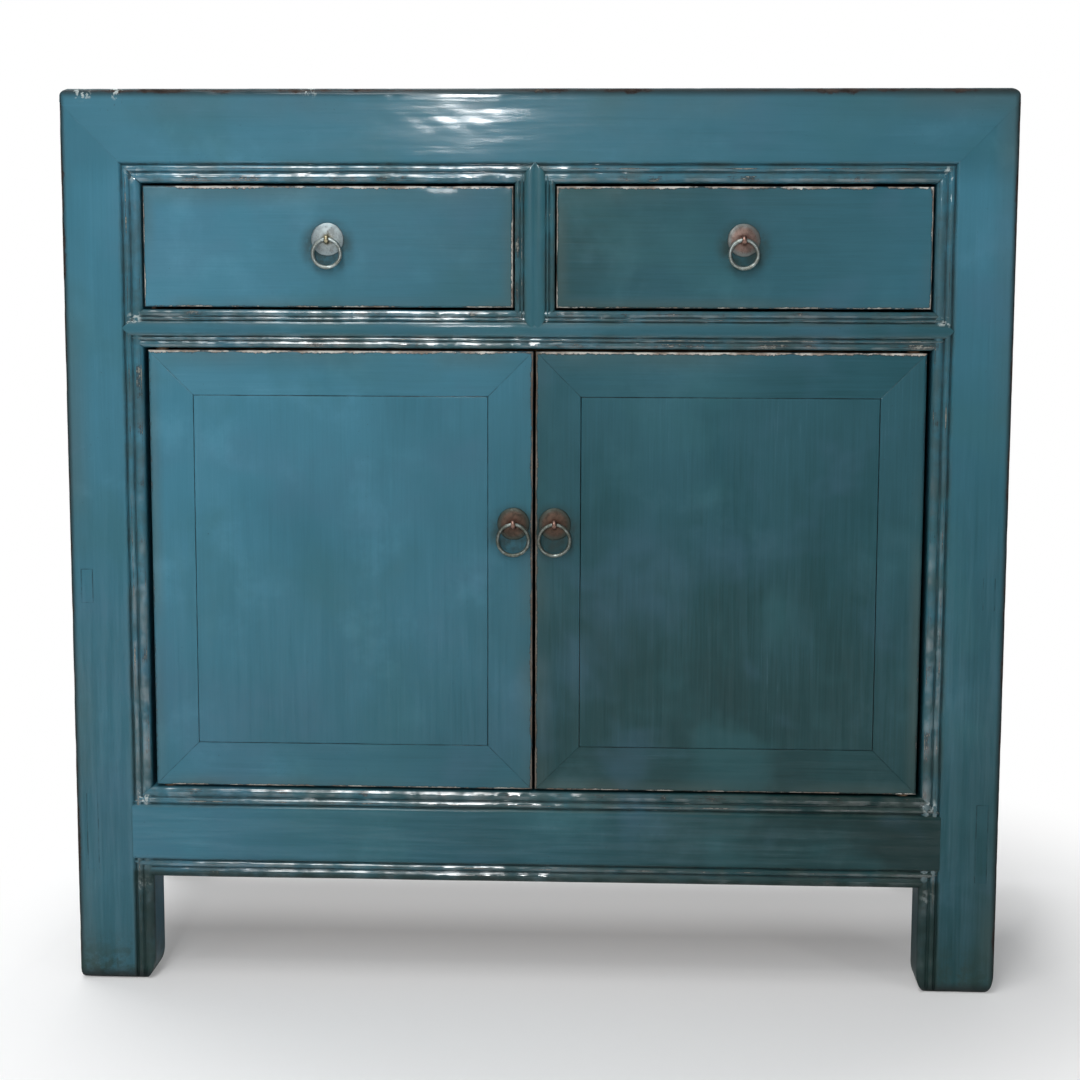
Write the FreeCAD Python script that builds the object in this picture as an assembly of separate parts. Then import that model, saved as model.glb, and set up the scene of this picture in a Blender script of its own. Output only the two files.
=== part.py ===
import FreeCAD, Part
import os

from FreeCAD import Vector

# A low cabinet of two drawers over two doors, framed and mortised in softwood. Millimetres.
# X runs along the front, Y from front to back and Z up. The origin is on the floor, midway
# along the front and midway between the back and the foremost point of the pulls.
# Sections of the front frame are drawn in (s, t): s is the distance from the edge of an
# opening, t the depth behind the front face.

# Overall size
width = 900.0
height = 868.0
depth = 400.0

# Legs
front_leg_width = 75.0
rear_leg_width = 60.0
leg_depth = 45.0
foot_clearance = 104.0  # floor to the underside of the bottom rails
foot_round = 9.0  # worn edge at the floor
arris_round = 3.0  # outer upright edges

# Top frame
top_rail_height = 88.0
top_frame_width = 60.0  # seen from above
top_frame_thickness = 32.0
top_edge_round = 6.0
top_panel_thickness = 18.0

# Rails and muntin of the front
drawer_opening_height = 119.0
mid_rail_height = 36.0
mid_rail_depth = 45.0
muntin_width = 36.0
muntin_depth = 32.0
bottom_rail_height = 91.0
bottom_rail_depth = 36.0
stop_lip_drop = 12.0  # lip under the mid rail that stops the doors

# Moulding along every edge of the openings
roll_width = 9.5
roll_drop = 6.0  # depth of the roll at the opening's edge
roll_crest = 1.2
quirk_width = 1.2
quirk_depth = 3.4
reed_width = 6.0
reed_crest = 0.6
cove_width = 2.1
shoulder_depth = 9.0  # depth of the mitred and pointed face shoulders

# Mortise and tenon
tenon_thickness = 12.0
tenon_length = 36.0
tenon_cheek = 5.0  # wood between a face shoulder and the tenon
tenon_edge = 6.0  # wood left above and below a tenon
through_tenon_shift = 2.0  # of a side rail's tenon, inward from its middle
blind_share = 0.8  # of a leg's depth, for a blind tenon
stub_length = 12.0
stub_edge = 4.0
head_tenon_front = 50.0  # heights of the two tenons on a leg's head
head_tenon_side = 38.0
head_tenon_inset = 30.0  # front head tenon from the leg's outer face
head_tenon_width = 22.0
head_tenon_side_thickness = 10.0
head_tenon_edge = 2.0

# Sides, back and floor
side_rail_thickness = 28.0
side_mid_rail_height = 46.0
side_mid_rail_level = 394.0  # its middle, above the floor
rear_rail_thickness = 28.0
panel_thickness = 12.0
panel_recess = 8.0
tongue_length = 8.0
tongue_thickness = 6.0
groove_play = 1.0
floor_thickness = 14.0
floor_drop = 10.0  # floor below the top of the bottom rails
floor_play = 0.5

# Drawers
drawer_gap = 2.5
face_recess = 2.0  # drawer and door faces behind the front face
drawer_front_thickness = 20.0
drawer_side_thickness = 12.0
drawer_side_drop = 10.0  # sides lower than the front
drawer_back_thickness = 10.0
drawer_bottom_thickness = 7.0
drawer_bottom_lift = 9.0
drawer_groove = 5.0
drawer_face_round = 2.2
tail_count = 3
tail_lap = 8.0  # wood left in front of the half-blind dovetails
tail_flare = 0.2
runner_play = 0.3
guide_play = 0.5
runner_height = 22.0
guide_height = 16.0
ledge_width = 22.0

# Doors
door_thickness = 22.0
door_gap = 2.4
hinge_gap = 4.6
meeting_gap = 2.5
door_frame_width = 43.0
door_face_round = 2.0
hinge_round = 4.0
door_panel_thickness = 15.0
door_panel_seam = 0.4
door_batten_width = 30.0
door_stop_play = 0.5
pivot_radius = 6.0
pivot_inset = 12.0  # pivot from the door's outer edge
pivot_length = 14.0
pivot_play = 0.25

# Battens with a sliding dovetail
batten_width = 30.0
batten_height = 16.0
dovetail_depth = 5.0
dovetail_flare = 2.0
batten_place = 0.27  # from each end of the panel, as a share of its length

# Pulls
plate_radius = 15.5
plate_dome = 2.6
plate_rim = 0.8
plate_sheet = 1.0
eye_wire_radius = 1.2
eye_play = 0.3
pin_radius = 1.7
pin_play = 0.15
pin_leg_radius = 1.1
pin_leg_length = 13.0
drawer_ring_radius = 13.2  # to the middle of the wire
drawer_ring_wire = 1.6
door_ring_radius = 14.9
door_ring_wire = 1.75
drawer_pull_lift = 7.0  # eye above the middle of the drawer
door_pull_lift = 48.0  # eye above the middle of the door
door_pull_inset = 18.5  # eye from the door's meeting edge

# Levels and planes that follow from the sizes above
moulding_width = roll_width + 2 * quirk_width + reed_width + cove_width
eye_radius = max(drawer_ring_wire, door_ring_wire) + eye_play + eye_wire_radius
eye_stand = plate_dome + eye_radius + eye_wire_radius
pull_projection = eye_stand + eye_radius + eye_wire_radius - face_recess
y_front = -(depth - pull_projection) / 2
y_back = y_front + depth
x_out = -width / 2
x_in = x_out + front_leg_width
x_rear = x_out + rear_leg_width
half_muntin = muntin_width / 2
z_rail_foot = foot_clearance
z_rail_top = foot_clearance + bottom_rail_height
z_open = height - top_rail_height
z_mid_top = z_open - drawer_opening_height
z_mid_bottom = z_mid_top - mid_rail_height
z_drawer = z_mid_top + drawer_gap
z_run = z_drawer - runner_play
y_face = y_front + face_recess
y_leg_back = y_front + leg_depth
y_leg_rear = y_back - leg_depth
y_tenon = y_front + shoulder_depth + tenon_cheek
y_panel = y_back - panel_recess - panel_thickness
side_mid_low = side_mid_rail_level - side_mid_rail_height / 2
side_mid_high = side_mid_rail_level + side_mid_rail_height / 2
mitre_rise = min(front_leg_width, top_rail_height - top_edge_round)


def block(x0, x1, y0, y1, z0, z1):
    """A box between two corners."""
    return Part.makeBox(x1 - x0, y1 - y0, z1 - z0, Vector(x0, y0, z0))


def outline(start, steps, place):
    """A face from a start point and steps, each an end point or an arc's middle and end."""
    edges = []
    here = start
    for step in steps:
        end = step[-1]
        if len(step) == 1:
            edges.append(Part.makeLine(place(*here), place(*end)))
        else:
            edges.append(Part.Arc(place(*here), place(*step[0]), place(*end)).toShape())
        here = end
    return Part.Face(Part.Wire(edges))


def polygon(points, place):
    """A face with straight sides through points, leaving out repeated ones."""
    kept = [p for i, p in enumerate(points) if p != points[i - 1]]
    return outline(kept[-1], [(p,) for p in kept], place)


def prism_xz(points, y0, y1):
    """A front polygon given depth from y0 to y1."""
    return polygon(points, lambda x, z: Vector(x, y0, z)).extrude(Vector(0, y1 - y0, 0))


def prism_xy(points, z0, z1):
    """A plan polygon raised from z0 to z1."""
    return polygon(points, lambda x, y: Vector(x, y, z0)).extrude(Vector(0, 0, z1 - z0))


def prism_yz(points, x0, x1):
    """A side polygon given width from x0 to x1."""
    return polygon(points, lambda y, z: Vector(x0, y, z)).extrude(Vector(x1 - x0, 0, 0))


def joined(shape, *others):
    """One solid from touching or overlapping shapes."""
    return shape.fuse(list(others)).removeSplitter()


def mirrored(shape):
    """The same shape on the other side of the middle plane."""
    return shape.mirror(Vector(0, 0, 0), Vector(1, 0, 0))


def bore(x, y, z, radius, length):
    """An upright cylinder from z upward."""
    return Part.makeCylinder(radius, length, Vector(x, y, z))


def turned(start, steps, span):
    """The steps of the opposite edge: mirrored about the middle of span, in reverse order."""
    ends = [start] + [step[-1] for step in steps]
    back = []
    for i in range(len(steps) - 1, -1, -1):
        points = list(steps[i][:-1]) + [ends[i]]
        back.append(tuple((span - s, t) for s, t in points))
    return back


def roll_steps():
    """The roll at an opening's edge and the bottom of its quirk."""
    return [
        ((0.4 * roll_width, roll_crest), (roll_width, quirk_depth)),
        ((roll_width + quirk_width, quirk_depth),),
    ]


def moulding_steps():
    """Roll, reed and the rounded edge of the flat, with a quirk after each of the first two."""
    reed_start = roll_width + quirk_width
    reed_end = reed_start + reed_width
    return roll_steps() + [
        ((reed_start + reed_width / 2, reed_crest), (reed_end, quirk_depth)),
        ((reed_end + quirk_width, quirk_depth),),
        ((moulding_width - 0.71 * cove_width, 0.29 * quirk_depth), (moulding_width, 0.0)),
    ]


def band_steps():
    """Roll, quirk and the rounded edge of the middle band of a narrow bar."""
    start = roll_width + quirk_width
    shoulder = (start + 0.29 * cove_width, reed_crest + 0.29 * (quirk_depth - reed_crest))
    return roll_steps() + [(shoulder, (start + cove_width, reed_crest))]


def bar_face(span, back, edge_steps, place):
    """Section of a bar moulded along both edges, span wide and back deep."""
    first = (0.0, roll_drop)
    inner_end = edge_steps[-1][-1]
    steps = [(first,)] + edge_steps
    steps.append(((span - inner_end[0], inner_end[1]),))
    steps += turned(first, edge_steps, span)
    steps += [((span, back),), ((0.0, back),)]
    return outline((0.0, back), steps, place)


def pointed(x0, x1, z0, z1, reach):
    """Corners of a bar whose ends run on by reach past x0 and x1 at 45 degrees."""
    return [
        (x0, z0), (x0 - reach, z0 + reach), (x0 - reach, z1 - reach), (x0, z1),
        (x1, z1), (x1 + reach, z1 - reach), (x1 + reach, z0 + reach), (x1, z0),
    ]


def face_zone(points):
    """The front layer of the frame inside a front polygon, where face shoulders meet."""
    return prism_xz(points, y_front - 1, y_front + shoulder_depth)


def rounded_board(x0, x1, y0, y1, z0, z1, radius, hinge=0.0):
    """A board with its front edges rounded and, at x0, both upright edges rounded by hinge."""
    r = radius
    k = 0.293
    h = hinge if hinge else radius
    plan = [((x1 - r, y0),), ((x1 - k * r, y0 + k * r), (x1, y0 + r)), ((x1, y1),)]
    if hinge:
        plan += [((x0 + h, y1),), ((x0 + k * h, y1 - k * h), (x0, y1 - h))]
    else:
        plan += [((x0, y1),)]
    plan += [((x0, y0 + h),), ((x0 + k * h, y0 + k * h), (x0 + h, y0))]
    side = [((y0, z1 - r),), ((y0 + k * r, z1 - k * r), (y0 + r, z1)), ((y1, z1),)]
    side += [((y1, z0),), ((y0 + r, z0),), ((y0 + k * r, z0 + k * r), (y0, z0 + r))]
    upright = outline((x0 + h, y0), plan, lambda x, y: Vector(x, y, z0))
    across = outline((y0, z0 + r), side, lambda y, z: Vector(x0, y, z))
    return upright.extrude(Vector(0, 0, z1 - z0)).common(across.extrude(Vector(x1 - x0, 0, 0)))


def dovetail(x, y0, y1, z_under, drop, rise, half_width):
    """A batten along Y under a board: drop below its underside, a dovetail rise into it."""
    neck = half_width - dovetail_flare
    points = [
        (x - half_width, z_under - drop), (x + half_width, z_under - drop),
        (x + half_width, z_under), (x + neck, z_under), (x + half_width, z_under + rise),
        (x - half_width, z_under + rise), (x - neck, z_under), (x - half_width, z_under),
    ]
    return prism_xz(points, y0, y1)


def muntin():
    """The upright between the drawers, pointed into both rails, and its notch."""
    reach = min(moulding_width, half_muntin)
    face = bar_face(muntin_width, muntin_depth, band_steps(),
                    lambda s, t: Vector(s - half_muntin, y_front + t, z_mid_top - reach))
    bar = face.extrude(Vector(0, 0, drawer_opening_height + 2 * reach))
    points = [(x, z) for z, x in pointed(z_mid_top, z_open, -half_muntin, half_muntin, reach)]
    front = face_zone(points)
    rear = block(-half_muntin, half_muntin, y_front + shoulder_depth, y_front + muntin_depth,
                 z_mid_top, z_open)
    half_tenon = half_muntin - tenon_edge
    tenon = block(-half_tenon, half_tenon, y_tenon, y_tenon + tenon_thickness,
                  z_mid_top - mid_rail_height / 2, z_open + mid_rail_height / 2)
    return joined(bar.common(front), bar.common(rear), tenon), front


def rail_tenons(z0, z1):
    """The two end tenons of a front rail."""
    left = block(x_in - tenon_length, x_in, y_tenon, y_tenon + tenon_thickness,
                 z0 + tenon_edge, z1 - tenon_edge)
    return [left, mirrored(left)]


def front_rail(z0, z1, back, edge_steps):
    """A rail with pointed face shoulders, square ones behind them and tenons, and its notch."""
    reach = min(moulding_width, (z1 - z0) / 2)
    face = bar_face(z1 - z0, back, edge_steps,
                    lambda s, t: Vector(x_in - reach, y_front + t, z1 - s))
    bar = face.extrude(Vector(2 * (reach - x_in), 0, 0))
    front = face_zone(pointed(x_in, -x_in, z0, z1, reach))
    rear = block(x_in, -x_in, y_front + shoulder_depth, y_front + back, z0, z1)
    return joined(bar.common(front), bar.common(rear), *rail_tenons(z0, z1)), front


def pivot_axis():
    """Plan position of the left door's pivot."""
    return x_in + hinge_gap + pivot_inset, y_face + door_thickness / 2


def pivot_holes():
    """Holes for the wooden pivots of both doors, in the mid rail and the bottom rail."""
    x, y = pivot_axis()
    length = pivot_length + pivot_play
    radius = pivot_radius + pivot_play
    holes = [bore(x, y, z_mid_bottom, radius, length + groove_play),
             bore(x, y, z_rail_top - length, radius, length)]
    return holes + [mirrored(hole) for hole in holes]


def mid_rail(males):
    """The rail between drawers and doors, with the lip that stops the doors, and its notch."""
    rail, notch = front_rail(z_mid_bottom, z_mid_top, mid_rail_depth, band_steps())
    lip_end = -x_in - hinge_gap - 2 * pivot_inset
    lip = block(-lip_end, lip_end, y_face + door_thickness + door_stop_play,
                y_front + mid_rail_depth, z_mid_bottom - stop_lip_drop, z_mid_bottom)
    return joined(rail, lip).cut(males), notch


def floor_board():
    """The cupboard floor, tongued into the bottom rails and notched round the legs."""
    top = z_rail_top - floor_drop
    low = top - floor_thickness
    mid = (top + low) / 2
    x0 = x_out + side_rail_thickness
    y0 = y_front + bottom_rail_depth
    y1 = y_back - rear_rail_thickness
    t = tongue_length
    half = tongue_thickness / 2
    board = block(x0, -x0, y0, y1, low, top)
    tongue = block(x0 - t, -x0 + t, y0 - t, y1 + t, mid - half, mid + half)
    t += groove_play
    groove = block(x0 - t, -x0 + t, y0 - t, y1 + t, mid - half, mid + half)
    p = floor_play
    front = block(x_out, x_in + p, y_front, y_leg_back + p, low, top)
    rear = block(x_out, x_rear + p, y_leg_rear - p, y_back, low, top)
    notches = [front, rear, mirrored(front), mirrored(rear)]
    return joined(board, tongue).cut(notches), groove


def side_panel(z0, z1):
    """A side board and the groove that it floats in."""
    x0 = x_out + panel_recess
    mid = x0 + panel_thickness / 2
    half = tongue_thickness / 2
    board = block(x0, x0 + panel_thickness, y_leg_back, y_leg_rear, z0, z1)
    t = tongue_length
    tongue = block(mid - half, mid + half, y_leg_back - t, y_leg_rear + t, z0 - t, z1 + t)
    t += groove_play
    groove = block(mid - half, mid + half, y_leg_back - t, y_leg_rear + t, z0 - t, z1 + t)
    return joined(board, tongue), groove


def back_board():
    """The back board and the groove that it floats in."""
    mid = y_panel + panel_thickness / 2
    half = tongue_thickness / 2
    board = block(x_rear, -x_rear, y_panel, y_panel + panel_thickness, z_rail_top, z_open)
    t = tongue_length
    tongue = block(x_rear - t, -x_rear + t, mid - half, mid + half, z_rail_top - t, z_open + t)
    t += groove_play
    groove = block(x_rear - t, -x_rear + t, mid - half, mid + half, z_rail_top - t, z_open + t)
    return joined(board, tongue), groove


def top_board():
    """The flush top board and the groove that it floats in."""
    x0 = x_out + top_frame_width
    y0 = y_front + top_frame_width
    y1 = y_back - top_frame_width
    z0 = height - top_panel_thickness
    mid = height - top_panel_thickness / 2
    half = tongue_thickness / 2
    board = block(x0, -x0, y0, y1, z0, height)
    t = tongue_length
    tongue = block(x0 - t, -x0 + t, y0 - t, y1 + t, mid - half, mid + half)
    t += groove_play
    groove = block(x0 - t, -x0 + t, y0 - t, y1 + t, mid - half, mid + half)
    return joined(board, tongue), groove


def top_batten(x):
    """A batten dovetailed across the underside of the top board, stubbed into the frame."""
    y0 = y_front + top_frame_width
    y1 = y_back - top_frame_width
    under = height - top_panel_thickness
    bar = dovetail(x, y0, y1, under, batten_height, dovetail_depth, batten_width / 2)
    z0 = height - top_frame_thickness + stub_edge
    half = batten_width / 4
    stubs = block(x - half, x + half, y0 - stub_length, y1 + stub_length, z0, under - stub_edge / 4)
    return joined(bar, stubs)


def side_rail(z0, z1):
    """A left side rail: through-tenon to the front leg's face, blind tenon to the rear."""
    x0 = x_out + (side_rail_thickness - tenon_thickness) / 2 + through_tenon_shift
    bar = block(x_out, x_out + side_rail_thickness, y_leg_back, y_leg_rear, z0, z1)
    tenon = block(x0, x0 + tenon_thickness, y_front, y_leg_rear + blind_share * leg_depth,
                  z0 + tenon_edge, z1 - tenon_edge)
    return joined(bar, tenon)


def rear_rail(y0, y1, z0, z1, y_cheek):
    """A rail between the rear legs, its tenons between y_cheek and its back face."""
    reach = rear_leg_width / 2
    bar = block(x_rear, -x_rear, y0, y1, z0, z1)
    tenon = block(x_rear - reach, -x_rear + reach, y_cheek, y1, z0 + tenon_edge, z1 - tenon_edge)
    return joined(bar, tenon)


def side_runner():
    """The left drawer runner: a ledge with a guide, stubbed into both legs."""
    x0 = x_rear - stub_length - stub_edge
    guide = x_in + drawer_gap - guide_play
    low = z_run - runner_height
    ledge = block(x0, x_in + ledge_width, y_leg_back, y_leg_rear, low, z_run)
    rib = block(x0, guide, y_leg_back, y_leg_rear, z_run, z_run + guide_height)
    stub = block(x0 + stub_edge, x_rear - stub_edge, y_leg_back - stub_length,
                 y_leg_rear + stub_length, low + stub_edge, z_run - stub_edge)
    return joined(ledge, rib, stub)


def centre_runner():
    """The middle drawer runner: a ledge on each side of a guide."""
    half = half_muntin + ledge_width
    guide = half_muntin + drawer_gap - guide_play
    y0 = y_front + mid_rail_depth
    y1 = y_leg_rear
    low = z_run - runner_height
    ledge = block(-half, half, y0, y1, low, z_run)
    rib = block(-guide, guide, y0, y1, z_run, z_run + guide_height)
    stub = block(-half / 2, half / 2, y0 - stub_length, y1 + stub_length, low + stub_edge,
                 z_run - 1.5 * stub_edge)
    return joined(ledge, rib, stub)


def leg_head(y_outer, sign, x_inner, rise):
    """What a leg keeps above its shoulder: mitred tongues on two faces."""
    depth_in = sign * leg_depth
    y_layer = sorted((y_outer, y_outer + sign * shoulder_depth))
    front = prism_xz([(x_inner, z_open), (x_out, z_open), (x_out, z_open + rise)], *y_layer)
    side = prism_yz([(y_outer, z_open), (y_outer + depth_in, z_open),
                     (y_outer, z_open + leg_depth)], x_out, x_out + shoulder_depth)
    return [front, side]


def head_sockets():
    """What the heads of the two left legs take out of the top rails."""
    rear_rise = min(rear_leg_width, top_rail_height - top_edge_round)
    front = leg_head(y_front, 1, x_in, mitre_rise) + head_tenons(y_front, 1)
    return front + leg_head(y_back, -1, x_rear, rear_rise) + head_tenons(y_back, -1)


def head_tenons(y_outer, sign):
    """The two tenons on a leg's head, one in each top rail."""
    near = y_outer + sign * (shoulder_depth + tenon_cheek)
    across = sorted((near, near + sign * tenon_thickness))
    x0 = x_out + head_tenon_inset
    front = block(x0, x0 + head_tenon_width, *across, z_open, z_open + head_tenon_front)
    far = y_outer + sign * (leg_depth - head_tenon_edge)
    across = sorted((far, far - sign * tenon_thickness))
    x1 = x_out + shoulder_depth + head_tenon_edge / 2
    side = block(x1, x1 + head_tenon_side_thickness, *across, z_open, z_open + head_tenon_side)
    return [front, side]


def foot_block(x0, x1, y0, y1):
    """A tall block with its edges at the floor worn round."""
    bar = block(x0, x1, y0, y1, 0, height)
    low = [e for e in bar.Edges if e.BoundBox.ZMax < 1e-6]
    return bar.makeFillet(foot_round, low)


def front_leg(males):
    """The left front leg: a moulded post with a mitred head, cut by what is mortised into it."""
    w = front_leg_width
    a = arris_round
    steps = [((0.0, roll_drop),)] + moulding_steps()
    steps += [((w - a, 0.0),), ((w - 0.293 * a, 0.293 * a), (w, a))]
    steps += [((w, leg_depth),), ((0.0, leg_depth),)]
    face = outline((0.0, leg_depth), steps, lambda s, t: Vector(x_in - s, y_front + t, 0))
    post = face.extrude(Vector(0, 0, z_open + mitre_rise))
    below = foot_block(x_out, x_in, y_front, y_leg_back)
    below = below.common(block(x_out, x_in, y_front, y_leg_back, 0, z_open))
    head = leg_head(y_front, 1, x_in, mitre_rise)
    kept = [post.common(zone) for zone in [below] + head]
    return joined(*kept, *head_tenons(y_front, 1)).cut(males)


def rear_leg(males):
    """The left rear leg: a plain post with the same head."""
    a = arris_round
    rise = min(rear_leg_width, top_rail_height - top_edge_round)
    corners = [((x_out, y_back - a),), ((x_out + 0.293 * a, y_back - 0.293 * a), (x_out + a, y_back))]
    corners += [((x_rear, y_back),), ((x_rear, y_leg_rear),), ((x_out, y_leg_rear),)]
    face = outline((x_out, y_leg_rear), corners, lambda x, y: Vector(x, y, 0))
    post = face.extrude(Vector(0, 0, z_open + rise))
    below = foot_block(x_out, x_rear, y_leg_rear, y_back)
    below = below.common(block(x_out, x_rear, y_leg_rear, y_back, 0, z_open))
    head = leg_head(y_back, -1, x_rear, rise)
    kept = [post.common(zone) for zone in [below] + head]
    return joined(*kept, *head_tenons(y_back, -1)).cut(males)


def top_envelope():
    """The outer form of the top frame, with rounded upright and top edges."""
    body = block(x_out, -x_out, y_front, y_back, z_open, height)
    upright = [e for e in body.Edges if e.BoundBox.ZLength > 1]
    body = body.makeFillet(arris_round, upright)
    top = [e for e in body.Edges if e.BoundBox.ZMin > height - 1e-6]
    return body.makeFillet(top_edge_round, top)


def flanged(web):
    """Corners of a rail's section in (inward, up): a web under a wider frame member."""
    flange = height - top_frame_thickness
    return [(0, z_open), (web, z_open), (web, flange), (top_frame_width, flange),
            (top_frame_width, height), (0, height)]


def mitred_plan():
    """Plan corners of the front, rear and left members of the top frame."""
    w = top_frame_width
    front = [(x_out, y_front), (x_out + w, y_front + w), (-x_out - w, y_front + w),
             (-x_out, y_front)]
    rear = [(x_out, y_back), (x_out + w, y_back - w), (-x_out - w, y_back - w), (-x_out, y_back)]
    left = [(x_out, y_front), (x_out, y_back), (x_out + w, y_back - w), (x_out + w, y_front + w)]
    return front, rear, left


def top_front_rail(males):
    """The front member of the top frame, moulded along its lower edge."""
    h = top_rail_height
    flange = h - top_frame_thickness
    steps = [((0.0, roll_drop),)] + moulding_steps()
    steps += [((h, 0.0),), ((h, top_frame_width),), ((flange, top_frame_width),)]
    steps += [((flange, leg_depth),), ((0.0, leg_depth),)]
    face = outline((0.0, leg_depth), steps, lambda s, t: Vector(x_out, y_front + t, z_open + s))
    bar = face.extrude(Vector(width, 0, 0))
    plan = prism_xy(mitred_plan()[0], z_open, height)
    return bar.common(plan).common(top_envelope()).cut(males)


def top_rear_rail(males):
    """The rear member of the top frame."""
    points = [(y_back - t, z) for t, z in flanged(leg_depth)]
    plan = prism_xy(mitred_plan()[1], z_open, height)
    return prism_yz(points, x_out, -x_out).common(plan).common(top_envelope()).cut(males)


def top_side_rail(males):
    """The left member of the top frame."""
    points = [(x_out + t, z) for t, z in flanged(side_rail_thickness)]
    plan = prism_xy(mitred_plan()[2], z_open, height)
    return prism_xz(points, y_front, y_back).common(plan).common(top_envelope()).cut(males)


def backplate(x, y, z):
    """A domed round plate on a face at y, with a hole for the pin."""
    hole = pin_radius + pin_play
    r = plate_radius
    outer = (0.55 * r, plate_rim + 0.75 * (plate_dome - plate_rim))
    inner = (0.52 * r, 0.66 * (plate_dome - plate_sheet))
    steps = [((r, plate_rim),), (outer, (hole, plate_dome)), ((hole, plate_dome - plate_sheet),)]
    steps += [(inner, (r - 2.2, 0.0)), ((r, 0.0),)]
    face = outline((r, 0.0), steps, lambda s, h: Vector(x + s, y - h, z))
    return face.revolve(Vector(x, y, z), Vector(0, 1, 0), 360)


def split_pin(x, y, z, y_inside):
    """A pin with an eye in front of a face at y and two legs bent over at y_inside."""
    y_eye = y - eye_stand
    eye = Part.makeTorus(eye_radius, eye_wire_radius, Vector(x, y_eye, z), Vector(1, 0, 0))
    y_bend = y_inside + pin_leg_radius
    shank = Part.makeCylinder(pin_radius, y_bend - y_eye - eye_radius,
                              Vector(x, y_eye + eye_radius, z), Vector(0, 1, 0))
    legs = []
    for way in (1, -1):
        start = Vector(x, y_bend, z)
        legs.append(Part.makeCylinder(pin_leg_radius, pin_leg_length, start, Vector(0, 0, way)))
        tip = Vector(x, y_bend, z + way * pin_leg_length)
        legs.append(Part.makeSphere(pin_leg_radius, tip))
    r = pin_radius
    knob = Part.makeSphere(r, Vector(x, y_bend, z))
    knob = knob.common(block(x - r, x + r, y_inside, y_bend + r, z - r, z + r))
    return joined(eye, shank, knob, *legs)


def pull(x, y, z, y_inside, ring_radius, wire):
    """Backplate, split pin, ring and the hole through the wood."""
    ring = Part.makeTorus(ring_radius, wire, Vector(x, y - eye_stand, z - ring_radius),
                          Vector(0, 1, 0))
    hole = Part.makeCylinder(pin_radius + pin_play, y_inside - y, Vector(x, y, z), Vector(0, 1, 0))
    return backplate(x, y, z), split_pin(x, y, z, y_inside), ring, hole


def tails(x0, x1, y_shoulder, length, z0, z1):
    """The dovetails at the front end of a drawer side."""
    pitch = (z1 - z0) / tail_count
    made = []
    for i in range(tail_count):
        mid = z0 + (i + 0.5) * pitch
        half = 0.24 * pitch
        wide = half + tail_flare * length
        points = [(y_shoulder, mid - half), (y_shoulder, mid + half),
                  (y_shoulder - length, mid + wide), (y_shoulder - length, mid - wide)]
        made.append(prism_yz(points, x0, x1))
    return made


def drawer():
    """The left drawer: front, two sides, back, bottom and pull."""
    x0 = x_in + drawer_gap
    x1 = -half_muntin - drawer_gap
    z0 = z_drawer
    z1 = z_open - drawer_gap
    y0 = y_face
    y_shoulder = y0 + drawer_front_thickness
    y_end = y_panel - guide_play
    side_top = z1 - drawer_side_drop
    t = drawer_side_thickness
    g = drawer_groove
    low = z0 + drawer_bottom_lift
    high = low + drawer_bottom_thickness
    y_rear = y_end - t - drawer_back_thickness
    bottom = block(x0 + t - g, x1 - t + g, y_shoulder - g, y_end - t, low, high)
    rear = block(x0 + t - g, x1 - t + g, y_rear, y_rear + drawer_back_thickness, high,
                 side_top - drawer_side_drop / 2)
    sides = []
    for a in (x0, x1 - t):
        board = block(a, a + t, y_shoulder, y_end, z0, side_top)
        joint = tails(a, a + t, y_shoulder, drawer_front_thickness - tail_lap, high, side_top)
        sides.append(joined(board, *joint).cut([bottom, rear]))
    plate, pin, ring, hole = pull((x0 + x1) / 2, y0, (z0 + z1) / 2 + drawer_pull_lift, y_shoulder,
                                  drawer_ring_radius, drawer_ring_wire)
    front = rounded_board(x0, x1, y0, y_shoulder, z0, z1, drawer_face_round)
    front = front.cut(sides + [bottom, hole])
    return {
        "front": front, "left_side": sides[0], "right_side": sides[1], "back": rear,
        "bottom": bottom, "backplate": plate, "split_pin": pin, "ring": ring,
    }


def door_batten(z, x0, x1, y_rear, y_panel_back):
    """A batten dovetailed across the back of a door panel, flush with the frame's back."""
    half = door_batten_width / 2
    neck = half - dovetail_flare
    y_deep = y_panel_back - dovetail_depth
    points = [(y_rear, z - half), (y_rear, z + half), (y_panel_back, z + half),
              (y_panel_back, z + neck), (y_deep, z + half), (y_deep, z - half),
              (y_panel_back, z - neck), (y_panel_back, z - half)]
    return prism_yz(points, x0, x1)


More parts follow.
